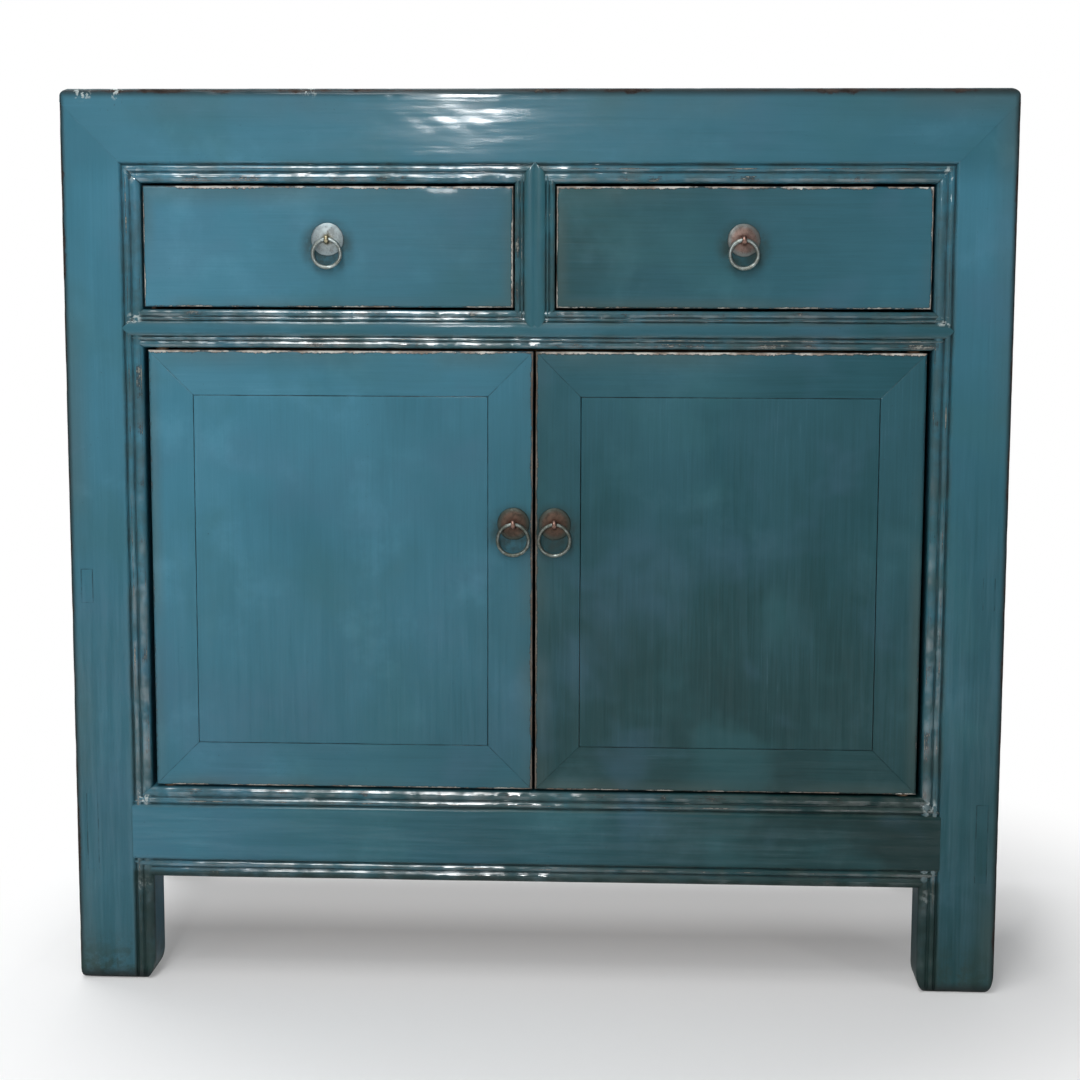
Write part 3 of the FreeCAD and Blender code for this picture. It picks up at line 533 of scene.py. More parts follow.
@grouped
def settled_dirt(place, hollow, seam):
    """Dirt in quirks and joints: strongest at the bottom of a hollow or on a joint line, broken up
    by noise along it."""
    broken = place.noise(70.0, 3.0, 0.6)
    in_hollow = hollow.under(0.2, 1.7, 0.66) * broken.span(0.3, 0.6, 0.55, 1.0)
    on_seam = seam.under(0.12, 0.6) * broken.span(0.36, 0.62, 0.1, 0.75)
    return {"Dirt": in_hollow.most(on_seam)}


@grouped
def wood_grain(grain):
    """Bare softwood: early and late wood as drawn-out noise bands, with fine fibres along them."""
    warp = grain.drawn_out((2.2, 9.0, 9.0), 3.0, 0.5)
    wavy = grain.vector("MULTIPLY", (1.2, 55.0, 55.0)).vector("ADD", warp)
    return {"Bands": wavy.noise(1.0, 3.0, 0.5, 1.2).span(0.35, 0.65),
            "Fibre": grain.drawn_out((26.0, 900.0, 900.0), 3.0, 0.6)}


def new_finish(name):
    """A material with its Principled shader and its Object coordinates."""
    made = bpy.data.materials.new(name)
    made.use_nodes = True
    place = add(made.node_tree, "TexCoord", {}).outputs["Object"]
    return made, made.node_tree.nodes["Principled BSDF"], Value(place)


early_wood, late_wood, fibre_line, wood_stain = (
    (0.215, 0.135, 0.083), (0.128, 0.075, 0.045), (0.085, 0.05, 0.032), (0.075, 0.045, 0.03))
palest_teal, light_teal, dark_teal, deepest_teal = (
    (0.059, 0.198, 0.272, 1), (0.044, 0.169, 0.235, 1), (0.010, 0.049, 0.054, 1), (0.005, 0.026, 0.026, 1))
green_drift, blue_drift, edge_haze, edge_dark = (
    (0.030, 0.118, 0.135), (0.062, 0.135, 0.205), (0.062, 0.088, 0.078), (0.012, 0.020, 0.020))
moulding_grime, finger_dirt, fly_speck, pale_scuff = (
    (0.040, 0.060, 0.050), (0.018, 0.034, 0.031), (0.016, 0.016, 0.016), (0.16, 0.26, 0.30))
primer, rubbed_roll, meeting_brown, pale_chip = (
    (0.022, 0.014, 0.012), (0.25, 0.26, 0.23), (0.085, 0.066, 0.05), (0.44, 0.50, 0.49))
seam_dirt, low_stain, floor_splash, foot_line = (
    (0.008, 0.016, 0.018), (0.012, 0.028, 0.025), (0.016, 0.042, 0.037), (0.006, 0.012, 0.012))
metal_pit = (0.05, 0.045, 0.038)


def wood_colour(grain):
    """Colour and height of bare, handled softwood from its grain."""
    bands, fibre = wood_grain(grain)
    colour = layers(early_wood, (bands, late_wood), (fibre.span(0.35, 0.7, 0.0, 0.45), fibre_line))
    return colour, bands + fibre


def lacquer(name, clouds, brushed, reach, cover, polish, edge_line, bare_light, bare_dark):
    """Teal lacquer brushed over a brown primer on softwood, rubbed through along its edges. The mark
    tone says how light a piece is, from dark 0 to light 1, partly from uneven fading and partly as painted
    light and shade. clouds and brushed are how strongly clouds and strokes show, reach and cover how far
    and how often the edges are rubbed bare, polish how much gloss the strokes keep, and edge_line how
    dark the outer edges are, partly from wear and partly as painted shade on their rounding."""
    made, shader, place = new_finish(name)
    edge, seam, crest, hollow, painted = (place.mark(mark) for mark in MARKS)
    across, _, level = place.parts()
    grain = place.mark("grain", "Vector")
    coarse, fine, patch = brush_strokes(grain)
    bare, rim = edge_wear(place, edge, crest, reach, cover)
    [dirt] = settled_dirt(place, hollow, seam)
    cloud, drift = place.noise(5.0, 3.0, 0.52, 0.3), place.noise(9.0, 3.0, 0.52, 0.2)

    # The tone mark sets the teal's lightness, which includes painted light and shade.
    shade = (place.mark("tone") + (cloud - 0.5) * clouds + (coarse - 0.5) * brushed
             + (patch - 0.5) * 0.36 + (fine - 0.5) * 0.26)
    ramp = add(made.node_tree, "ValToRGB", {"Fac": shade.span(-0.25, 1.25, how="LINEAR")})
    stops = ramp.color_ramp.elements
    stops[0].color, stops[1].color = deepest_teal, palest_teal
    stops.new(0.167).color, stops.new(0.833).color = dark_teal, light_teal

    haze = edge.under(1.0, 16.0, 0.42) * cloud.span(0.38, 0.62)
    # Darker outer edges of the frame: partly wear, partly painted shade on the rounded edges.
    worn_line = edge.under(0.5, 3.4, edge_line)
    moulded = crest.math("MINIMUM", hollow).under(2.0, 6.0, 0.52)
    grime = moulded * place.noise(34.0, 4.0, 0.65).span(0.34, 0.64)
    # Darker halo round each pull: partly dirt from fingers, partly painted shadow of the plate and ring.
    fingered = place.mark("pull").under(14.0, 31.0, 0.85) * place.noise(90.0, 4.0, 0.65).span(0.32, 0.6, 0.35)
    flaws = place.noise(430.0, 2.0, 0.5).span(0.68, 0.76) * patch.span(0.46, 0.66)
    colour = layers(
        Value(ramp.outputs["Color"]), (drift.span(0.50, 0.70, 0.0, 0.36), green_drift),
        (drift.under(0.28, 0.48, 0.26), blue_drift), (haze, edge_haze), (worn_line, edge_dark),
        (grime, moulding_grime), (fingered, finger_dirt), (flaws * 0.5, fly_speck))

    bloom = place.noise(16.0, 5.0, 0.6, 0.2).span(0.48, 0.72) * cloud.span(0.38, 0.62, 0.0, 0.38)
    paler = colour.vector("MULTIPLY_ADD", (1.4, 1.4, 1.4), (0.02, 0.02, 0.024))
    # Pale streaks along the fine brush strokes: partly scuffs, partly painted sheen.
    scuffs = fine.span(0.60, 0.78) * patch.span(0.52, 0.72, 0.0, 0.3)
    middle = across.math("ABSOLUTE", 0.0).under(0.004, 0.009, 0.85)
    bare_tone = layers(bare_light, (place.noise(75.0).span(0.38, 0.62), bare_dark),
                       (crest.under(2.5, 5.0, 0.8), rubbed_roll), (middle, meeting_brown))
    # Pale spots near the moulded corners on rolls, joints and edges: partly chipped paint, partly painted
    # glints where lumps of lacquer catch the light.
    grit = place.noise(60.0, 3.0)
    ragged = grit * 14.0 + place.mark("corner")
    raised = crest.under(2.5, 5.5).most(seam.under(0.8, 2.2), edge.under(2.0, 5.0))
    chips = ragged.under(9.0, 17.0, 0.85) * place.noise(210.0, 3.0, 0.6).span(0.50, 0.60) * raised
    # Rolls below 114 mm, on the legs and at the foot of the bottom rail where the roll faces down, are darker
    # in patches: partly dirt, partly painted shade.
    low_roll = level.under(0.108, 0.114, 0.9) * crest.under(4.0, 8.0)
    stain = low_roll * place.noise(42.0, 4.0, 0.6).span(0.3, 0.58, 0.55)
    splash = level.under(0.004, 0.06, 0.85) * place.noise(75.0, 5.0, 0.7).span(0.4, 0.62)
    colour = layers(
        colour, (bloom, paler), (scuffs, pale_scuff), (rim * 0.8, primer), (bare, bare_tone),
        (chips, pale_chip), (dirt, seam_dirt), (stain, low_stain), (splash, floor_splash),
        # A dark band up to 14 mm above the floor: dirt and painted contact shadow.
        (level.under(0.002, 0.014, 0.9), foot_line))
    wood, wood_height = wood_colour(grain)
    unpainted = 1.0 - painted

    rough = patch.span(0.3, 0.7, 0.30, 0.52) + bare.most(dirt) * 0.25 + unpainted * 0.3 + worn_line * 0.3
    streaks = (coarse + fine * 0.5).span(0.64, 0.90)
    kept_polish = level.span(0.76, 0.83, polish, max(polish, 6 * polish - 0.2))
    rubbed = place.noise(48.0, 4.0, 0.65).span(0.40, 0.62, 0.03, 0.72) * crest.under(2.5, 5.0)
    handled = streaks * kept_polish + 0.03 + rubbed
    gloss = painted.math("SUBTRACT", bare.most(dirt, worn_line, stain), clamp=True)
    rise = (coarse * 0.5 + fine * 0.3 + grit * 0.6 - bare * 0.6 - flaws * 0.4
            + wood_height * 0.3 * unpainted)
    feed(shader, {
        "Base Color": layers(wood, (painted, colour)), "Roughness": rough,
        "Coat Weight": gloss.math("MULTIPLY", handled, clamp=True), "Coat Roughness": 0.08,
        "Coat IOR": 2.2, "Specular IOR Level": 0.2, "Normal": rise.relief(0.6, 0.0004)})
    return made


def bare_wood(name, turn):
    """Unpainted softwood inside the cabinet, its grain along the axis that a turn about Z brings to X."""
    made, shader, place = new_finish(name)
    colour, rise = wood_colour(place.node("Mapping", {"Vector": place, "Rotation": (0, 0, turn)}))
    stain = place.noise(9.0).span(0.3, 0.75, 0.0, 0.5)
    feed(shader, {"Base Color": layers(colour, (stain, wood_stain)),
                  "Roughness": rise.span(0.6, 1.4, 0.5, 0.72), "Normal": rise.relief(0.5, 0.0003)})
    return made


plate_rough, wire_rough, rough_patch = 0.42, 0.34, 0.22


def old_metal(name, bright, dull, rim=None, heart=None):
    """Handled brass or copper: dull patina in patches, bright where it is rubbed, dark in the small
    pits, with fine scratches. A plate's rim and its middle have colours of their own; wire has none."""
    made, shader, place = new_finish(name)
    least_rough = plate_rough if rim else wire_rough
    patch = place.noise(160.0, 5.0, 0.65, 0.5)
    pits = place.noise(900.0, 3.0, 0.6).span(0.58, 0.72)
    scratch = place.drawn_out((2600.0, 200.0, 240.0), 3.0, 0.6)
    colour = layers(bright, (patch.span(0.38, 0.64), dull))
    if rim:
        inward = place.mark("edge") + patch * 6.0
        colour = layers(colour, (inward.under(4.0, 8.5, 0.85), rim),
                        (inward.span(10.5, 15.0, 0.0, 0.8), heart))
    rise = patch * 0.8 + scratch * 0.25 - pits * 0.5
    feed(shader, {"Base Color": layers(colour, (pits * 0.7, metal_pit)), "Metallic": 1.0,
                  "Roughness": patch.span(0.3, 0.7, least_rough, least_rough + rough_patch) + pits * 0.15,
                  "Normal": rise.relief(0.5, 0.0003)})
    return made


frame_lacquer = lacquer(
    "teal_lacquer_frame", clouds=0.36, brushed=0.32, reach=1.5, cover=0.02, polish=0.09, edge_line=0.85,
    bare_light=(0.042, 0.032, 0.027), bare_dark=(0.018, 0.013, 0.011))
# On the drawers and doors the bare colour is pale: their rubbed edges, widest along the top, show partly worn
# wood and partly a painted highlight.
leaf_lacquer = lacquer(
    "teal_lacquer_doors", clouds=0.48, brushed=0.2, reach=1.6, cover=0.17, polish=0.035, edge_line=0.0,
    bare_light=(0.50, 0.485, 0.44), bare_dark=(0.21, 0.17, 0.14))
wood_x = bare_wood("bare_wood_along_x", 0.0)
wood_y = bare_wood("bare_wood_along_y", np.pi / 2)
pale_plate = old_metal("worn_pale_brass", (0.36, 0.42, 0.43), (0.28, 0.31, 0.31),
                       rim=(0.33, 0.40, 0.42), heart=(0.20, 0.18, 0.13))
pink_plate = old_metal("pinkish_copper", (0.24, 0.165, 0.14), (0.165, 0.12, 0.105),
                       rim=(0.18, 0.21, 0.205), heart=(0.12, 0.055, 0.042))
copper_plate = old_metal("red_brown_copper", (0.125, 0.080, 0.060), (0.080, 0.062, 0.048),
                         rim=(0.062, 0.082, 0.072), heart=(0.09, 0.045, 0.032))
pale_wire = old_metal("silvery_brass_wire", (0.42, 0.48, 0.47), (0.27, 0.29, 0.26))
pin_brass = old_metal("yellow_brass_pin", (0.46, 0.41, 0.27), (0.30, 0.26, 0.16))
pin_copper = old_metal("pinkish_copper_pin", (0.33, 0.20, 0.16), (0.20, 0.12, 0.095))
ring_brass = old_metal("handled_brass_wire", (0.25, 0.28, 0.26), (0.12, 0.13, 0.105))


# Frame of the front

bar_lumps = [(-opening_side, 16), (0, 26), (opening_side, 16)]
leg_lumps = [(opening_top, 14), ((drawer_floor + door_top) / 2, 24), (door_floor, 14), (70, 50), (20, 30)]
foot_sizes = {-1: (14.0, 6.5), 1: (12.0, 13.5)}
# Leg tones grow lighter towards the top: partly fading, partly painted light and shade.
leg_tones = {-1: (0.72, 0.0, 0.9), 1: (0.48, 0.0, 1.18)}
moulded_step, mitre_dip, outer_rub, top_rub = 3.5, 0.03, 0.55, 0.42


def leg_top(width):
    """Where a leg ends: the front tongue rises with the mitre, the side tongue falls from the front
    face at 45 degrees, and the rest stops at the shoulder."""
    def stop(p, q):
        rise = np.where(q < shoulder, p, 0.0)
        side = np.where((p > width - shoulder) & (q >= shoulder), leg_depth - q, 0.0)
        return opening_top + np.maximum(rise, np.maximum(side, 0.0))
    return stop


def hide_joint(shell):
    """Lacquer covers a mitred corner's joint line, the more the further it lies from the opening."""
    out = np.hypot(np.abs(shell["spots"][:, 0]) - opening_side, shell["spots"][:, 2] - opening_top)
    shell["seam"] = shell["seam"] * (1 + 0.06 * out)


def front_leg(name, side):
    """A front leg: the moulded section carried up from the floor, worn round at the foot. Gives back
    what is added to (height, distance from the middle, 0) to get the strokes' place on its face."""
    runs = [straight((0, leg_depth), (0, roll_drop)), *moulding_run(),
            straight((moulding_width, 0), (leg_width - leg_edge, 0)),
            corner((leg_width - leg_edge, 0), (leg_width, 0), (leg_width, leg_edge)),
            straight((leg_width, leg_edge), (leg_width, leg_depth), breaks=[shoulder - leg_edge]),
            straight((leg_width, leg_depth), (0, leg_depth), 20)]
    shape = section(runs, edges=[(leg_width - 0.5, 0.5, outer_rub), (leg_width, leg_depth)], **frame_marks)
    place = ((side * opening_side, front_plane, 0), (side, 0, 0), deep, up)
    shell = carry(shape, place, 0.0, leg_top(leg_width), name, step=moulded_step, ends=("edge", "seam"),
                  foot=foot_sizes[side], dip=mitre_dip, lumpy=leg_lumps)
    hide_joint(shell)
    frame_piece(name, [shell], soften=True, tone=leg_tones[side])
    on_face = np.argmin(np.abs(shell["spots"] - (side * tenon_middle, front_plane, 150.0)).sum(axis=1))
    return shell["grain"][on_face] - (shell["spots"][on_face, 2], side * shell["spots"][on_face, 0], 0)


def rear_leg(name, side):
    """A rear leg: a plain post with the same foot and head."""
    shape = board_section(rear_leg_width, leg_depth, 1.5, leg_edge, 1.0, tongued=True,
                          painted=lambda p, q: (q < inner_skin) | (p > rear_leg_width - inner_skin))
    place = ((side * rear_side, back_plane, 0), (side, 0, 0), out_of_back, up)
    shell = carry(shape, place, 0.0, leg_top(rear_leg_width), name, ends=("edge", "seam"), foot=(6.0, 6.0))
    shell["paint"] = np.where(shell["spots"][:, 2] < rail_foot, 1.0, shell["paint"])
    frame_piece(name, [shell], soften=True, tone=leg_tones[side])


def top_rail(name, web, place, ends_at, moulded, half_length):
    """A member of the top frame: a web under a wider flange, mitred in plan and to the legs' tongues.
    ends_at gives, for both ends, how far in from the outer corner the section point (p, q) lies."""
    flange, face_end = top_height - frame_thickness, (top_height - top_edge, 0)
    if moulded:
        lower = [straight((0, web), (0, roll_drop)), *moulding_run(),
                 straight((moulding_width, 0), face_end, 3.0)]
    else:
        lower = [straight((0, web), (0, 0.5)), corner((0, 0.5), (0, 0), (0.5, 0)),
                 straight((0.5, 0), face_end, breaks=[rear_leg_width - 0.5, leg_width - 0.5])]
    runs = lower + [
        corner(face_end, (top_height, 0), (top_height, top_edge), 8),
        straight((top_height, top_edge), (top_height, frame_member)),
        straight((top_height, frame_member), (flange, frame_member), 16),
        straight((flange, frame_member), (flange, web), 16),
        straight((flange, web), (0, web), 16),
    ]
    shape = section(runs, edges=[(top_height - 2.5, 2.0, top_rub)], seams=[(top_height, frame_member)],
                    lacquered=lambda p, q: (q < painted_depth) | (p > top_height - 1),
                    **(frame_marks if moulded else {}))
    begin, finish = ends_at
    shell = carry(shape, place, lambda p, q: -half_length + begin(p, q),
                  lambda p, q: half_length - finish(p, q), name, step=moulded_step if moulded else 8.0,
                  dip=mitre_dip, lumpy=bar_lumps, fine_wave=0.08 if moulded else 0.0)
    hide_joint(shell)
    if half_length == half_width:
        to_side = half_width - np.abs(shell["spots"][:, 0])
        shell["edge"] = np.minimum(shell["edge"], outer_rub * to_side)
    frame_piece(name, [shell], soften=True, tone=top_tone)


def front_mitre(width):
    """Start of a front or rear top rail: on the face it follows the leg's mitre, above and behind
    that the mitre in plan."""
    return lambda p, q: np.maximum(np.where(q < shoulder, np.maximum(width - p, 0.0), 0.0), q)


def side_mitre(width):
    """Start of a side top rail on its face: past the leg's side tongue, then the edge of its front
    tongue, then the corner; behind the face, the mitre in plan."""
    def start(p, q):
        tongue = np.where(p < leg_depth - shoulder, leg_depth - p, np.where(p < width, shoulder, 0.0))
        return np.maximum(np.where(q < shoulder, tongue, 0.0), q)
    return start


leg_strokes = {}
for side_name, side in SIDES:
    leg_strokes[side] = front_leg(f"front_{side_name}_leg", side)
    rear_leg(f"rear_{side_name}_leg", side)

middle_y = (front_plane + back_plane) / 2
half_depth = (back_plane - front_plane) / 2
top_rail("top_front_rail", leg_depth, ((0, front_plane, opening_top), up, deep, right),
         [front_mitre(leg_width)] * 2, True, half_width)
top_rail("top_rear_rail", leg_depth, ((0, back_plane, opening_top), up, out_of_back, right),
         [front_mitre(rear_leg_width)] * 2, False, half_width)
for side_name, side in SIDES:
    place = ((side * half_width, middle_y, opening_top), up, (-side, 0, 0), deep)
    top_rail(f"top_{side_name}_rail", side_rail, place, [side_mitre(leg_width), side_mitre(rear_leg_width)],
             False, half_depth)


def moulded_bar(width, depth, edge_run, inner, crown, reeds):
    """Section of a bar moulded along both edges: one edge's run, the flat, and the run mirrored. A
    narrow bar's flat is crowned by so many shallow reeds, each half a sine wave."""
    near = np.vstack(edge_run)
    far = np.column_stack([width - near[::-1, 0], near[::-1, 1]])
    span = np.linspace(inner[0], width - inner[0], 25 if width < 50 else 15)
    lift = crown * np.abs(np.sin(np.pi * reeds * (span - inner[0]) / (width - 2 * inner[0]))) ** 0.7
    runs = [straight((0, depth), (0, roll_drop)), near, np.column_stack([span, inner[1] - lift]),
            far, straight((width, roll_drop + 0.5), (width, depth)),
            straight((width, depth), (0, depth), 20)]
    wide = inner[0] == moulding_width
    narrow = 1.0 if wide else inner[0] / band_width
    crests, hollows = (moulding_crests, moulding_quirks) if wide else (band_crests, band_quirks)

    def both(marks):
        return [(end * narrow * p + (end < 0) * width, q) for end in (1, -1) for p, q in marks]
    return section(runs, crests=both(crests), hollows=both(hollows), lacquered=lambda p, q: q < painted_depth)


def pointed_end(width, reach):
    """How far a bar's face runs past its shoulder: 1.2 times the distance from the nearer edge up to
    reach, or on a narrow bar so much less that it comes to a point there."""
    slope = min(1.2, 2 * reach / width) if width < 50 else 1.2
    return lambda p, q: np.where(q < shoulder, np.minimum(slope * np.minimum(p, width - p), reach), 0.0)


def front_bar(name, place, width, depth, edge_run, inner, low, high, reach, tone, extra=(), crown=0.0,
              reeds=1):
    """A moulded bar between low and high with pointed face shoulders."""
    shape = moulded_bar(width, depth, edge_run, inner, crown, reeds)
    tip = pointed_end(width, reach)
    shell = carry(shape, place, lambda p, q: low - tip(p, q), lambda p, q: high + tip(p, q), name,
                  step=moulded_step, lumpy=bar_lumps)
    frame_piece(name, [shell, *extra], tone=tone)


lip_height, lip_depth, lip_half, lip_gap = 12.0, 20.25, 346.4, 0.5
lip_place = ((0, face_plane + door_thick + lip_gap, door_top - lip_height), up, deep, right)
stop_lip = carry(board_section(lip_height, lip_depth, 0.8, 0.8), lip_place, -lip_half, lip_half, "stop_lip",
                 ends=("edge", "edge"))
stop_lip["paint"] = stop_lip["paint"] * 0.0
front_bar("front_mid_rail", ((0, front_plane, drawer_floor), down, deep, right), drawer_floor - door_top,
          leg_depth, band_run(), (band_width, 0.6), -opening_side, opening_side, point_reach,
          (0.42, -0.5, 0.0), [stop_lip], crown=0.45)
front_bar("front_bottom_rail", ((0, front_plane, door_floor), down, deep, right), door_floor - rail_foot,
          bottom_rail_depth, moulding_run(), (moulding_width, 0.0), -opening_side, opening_side,
          moulding_width, (0.22, -1.45, 0.0))
front_bar("drawer_muntin", ((-half_muntin, front_plane, 0), right, deep, up), 2 * half_muntin, muntin_depth,
          band_run(band_narrow), (band_width * band_narrow, 0.6), drawer_floor, opening_top, point_reach,
          (0.38, 0.0, 0.0), crown=0.5, reeds=2)


# Sides, back and top

side_low, side_high = 371.0, 417.0
rail_start, rail_stop = front_plane + leg_depth, back_plane - leg_depth
rail_round, tongue_in = 1.6, 3.0
for side_name, side in SIDES:
    inward = (-side, 0, 0)
    for part, low, high in (("bottom", rail_foot, door_floor), ("mid", side_low, side_high)):
        name = f"{side_name}_{part}_rail"
        shape = board_section(high - low, side_rail, rail_round, rail_round, painted=outer_skin)
        rail = carry(shape, ((side * half_width, 0, low), up, inward, deep), rail_start, rail_stop, name)
        tenon = board_section(tenon_width, tenon_depth, 0.3, 0.3, step=1.0, seam=("near", "far"))
        place = ((side * tenon_middle - tenon_width / 2, front_plane - tenon_proud, 0), right, deep, up)
        end = carry(tenon, place, low + tenon_inset, high - tenon_inset, name + "_tenon", step=2.0,
                    uneven=0.02)
        end["seam"] = end["seam"] * 0.42
        end["grain"] = end["spots"][:, [2, 0, 1]] * (1, side, 0) + leg_strokes[side]
        frame_piece(name, [rail, end], tone=leg_tones[side])
    name = f"{side_name}_side_panels"
    shape = board_section(rail_stop - rail_start + 2 * tongue_in, panel_thick, 0.4, 0.4, step=14.0,
                          seam=("near", "far"))
    place = ((side * (half_width - panel_recess), rail_start - tongue_in, 0), deep, inward, up)
    shells = [carry(shape, place, low - tongue_in, high + tongue_in, name + str(low), step=14.0, uneven=0.5)
              for low, high in ((door_floor, side_low), (side_high, opening_top))]
    frame_piece(name, shells, tone=leg_tones[side])

name = "rear_bottom_rail"
shape = board_section(door_floor - rail_foot, side_rail, rail_round, rail_round, painted=outer_skin)
place = ((0, back_plane, rail_foot), up, out_of_back, right)
frame_piece(name, [carry(shape, place, -rear_side, rear_side, name)])


def joined_boards(name, place, edges, low, high, gap, thick, edge_round, uneven, painted=None):
    """Boards side by side between the listed edges, with a narrow gap between each two and a loose
    tongue across it in the middle of their thickness."""
    origin, across, behind, along = (np.array(v, float) for v in place)
    tongue_width, tongue_thick = 8.0, 3.0
    tongue = board_section(tongue_width, tongue_thick, 0.3, 0.3, painted=no_paint)
    shells = []
    for number, (near, far) in enumerate(zip(edges[:-1], edges[1:])):
        shape = board_section(far - near - gap, thick, edge_round, edge_round, step=10.0,
                              seam=("near", "far"), painted=painted)
        shells.append(carry(shape, (origin + (near + gap / 2) * across, across, behind, along), low, high,
                            f"{name}_{number}", step=12.0, uneven=uneven))
        if number:
            seat = origin + (near - tongue_width / 2) * across + (thick / 2 - tongue_thick / 2) * behind
            shells.append(carry(tongue, (seat, across, behind, along), low + 1, high - 1,
                                f"{name}_tongue_{number}", step=30.0, uneven=0.05))
    return shells


back_side, top_inside = rear_side + tongue_in, frame_member + 0.3
frame_piece("back_panel", joined_boards(
    "back_board", ((0, back_plane - panel_recess, 0), right, out_of_back, up),
    np.linspace(-back_side, back_side, 6), door_floor - tongue_in, opening_top + tongue_in, 0.5,
    panel_thick, 0.8, 0.6, painted=no_paint), slot_name="bare_wood")
frame_piece("top_panel", joined_boards(
    "top_board", ((0, 0, height), deep, down, right),
    np.linspace(front_plane + top_inside, back_plane - top_inside, 4),
    -half_width + top_inside, half_width - top_inside, 0.15, top_panel_thick, 0.5, 0.4))


# Drawers and doors

drawer_inner, drawer_outer, drawer_low, drawer_height, drawer_round = 20.5, 372.5, 663.5, 114.0, 2.2
drawer_end = 0.15
# Drawer and door tones, lighter or darker to one side and towards the top: partly fading, partly painted
# light and shade.
drawer_tones = {-1: (0.44, -1.95, 0.0), 1: (0.02, 1.55, 0.0)}
door_inner, door_outer, door_low, door_high = 1.25, 370.4, 197.4, 622.6
door_tones = {-1: (0.58, -1.0, 0.9), 1: (0.16, 0.0, 1.0)}
pivot_in, peg_radius, peg_out, peg_in = 12.0, 6.0, 14.0, 2.0
door_round, meeting_round, hinge_round, panel_gap = 2.0, 1.2, 4.0, 0.2

for side_name, side in SIDES:
    name = f"{side_name}_drawer_front"
    low, high = sorted((side * drawer_inner, side * drawer_outer))
    shape = board_section(drawer_height, drawer_thick, drawer_round, drawer_round, 0.4, rub=(1.1, 0.6))
    shell = carry(shape, ((0, face_plane, drawer_low), up, deep, right), low + drawer_end,
                  high - drawer_end, name, ends=("edge", "edge"), end_round=drawer_round, uneven=0.2)
    piece(name, [shell], leaf_lacquer, f"{side_name}_drawer", tone=drawer_tones[side])


def mitred_board(name, place, length, radius, back, body, tone, extra=(), rub=1.0):
    """A member of a door's frame: a board whose ends run in at 45 degrees from its outer edge."""
    shape = board_section(door_frame, door_thick, radius, 0.25, back, seam=("far",), rub=(rub, 1.0),
                          painted=lambda p, q: (q < door_thick - 1) & ((p < door_frame - 0.6) | (q < 4.0)))
    shell = carry(shape, place, lambda p, q: p, lambda p, q: length - p, name, uneven=0.2, dip=0.15)
    piece(name, [shell, *extra], leaf_lacquer, body, tone=tone)


for side_name, side in SIDES:
    body, tone = f"{side_name}_door", door_tones[side]
    outer, inner = side * door_outer, side * door_inner
    wide, tall, edge = abs(outer - inner), door_high - door_low, min(outer, inner)
    pivot = (side * (door_outer - pivot_in), face_plane + door_thick / 2)
    pegs = [peg(pivot, door_high - peg_in, door_high + peg_out, peg_radius, body + "_upper_peg"),
            peg(pivot, door_low - peg_out, door_low + peg_in, peg_radius, body + "_lower_peg")]
    mitred_board(f"{body}_hinge_stile", ((outer, face_plane, door_low), (-side, 0, 0), deep, up), tall,
                 hinge_round, hinge_round, body, tone, pegs)
    mitred_board(f"{body}_meeting_stile", ((inner, face_plane, door_low), (side, 0, 0), deep, up), tall,
                 meeting_round, 0.5, body, tone, rub=0.72)
    mitred_board(f"{body}_top_rail", ((edge, face_plane, door_high), down, deep, right), wide,
                 door_round, 0.5, body, tone, rub=0.6)
    mitred_board(f"{body}_bottom_rail", ((edge, face_plane, door_low), up, deep, right), wide,
                 door_round, 0.5, body, tone)
    name, inset = f"{body}_panel", door_frame + panel_gap
    shape = board_section(wide - 2 * inset, door_panel_thick, 0.25, 0.25, step=7.0, seam=("near", "far"))
    shell = carry(shape, ((edge + inset, face_plane, 0), right, deep, up), door_low + inset,
                  door_high - inset, name, step=7.0, uneven=0.45, dip=0.15)
    piece(name, [shell], leaf_lacquer, body, tone=tone)


# Pulls

plate_radius, plate_dome, plate_rim = 15.5, 2.6, 0.8
pin_radius, leg_radius, leg_length = 1.7, 1.1, 13.0
eye_radius, eye_wire, eye_stand, eye_broad = 3.25, 1.19, 7.05, 1.8


def sheath(grid, looped, edge=FAR):
    """A shell from a grid of points whose rows are closed loops. The faces are turned outward by the
    sign of their volume."""
    quads, caps = loop_faces(*grid.shape[:2], looped)
    spots = grid.reshape(-1, 3)
    a, b, c, d = (spots[quads[:, k]] - spots.mean(axis=0) for k in range(4))
    if (np.cross(b, c) * a + np.cross(c, d) * a).sum() < 0:
        quads, caps = turned(quads, caps)
    blank = np.full(len(spots), FAR)
    return {"spots": spots, "quads": quads, "caps": caps, "grain": spots, "seam": blank, "crest": blank,
            "hollow": blank, "edge": np.broadcast_to(edge, grid.shape[:2]).ravel(), "paint": blank * 0.0}


def hoop(centre, u, v, radius, wire, seed, broad=1.0):
    """A ring of wire in the plane of u and v: a circle carried round a circle, the wire up to a
    twentieth thinner here and there and drawn out sideways by broad."""
    turn, round_wire = full_turn(120)[:, None], full_turn(20)[None]
    thin = wire * (0.95 + 0.05 * swell(np.cos(turn), np.sin(turn), seed))
    outward = np.cos(turn)[..., None] * np.array(u, float) + np.sin(turn)[..., None] * np.array(v, float)
    sideways = broad * np.cross(u, v).astype(float)
    reach = (radius + thin * np.cos(round_wire))[..., None]
    return sheath(centre + reach * outward + (thin * np.sin(round_wire))[..., None] * sideways, True)


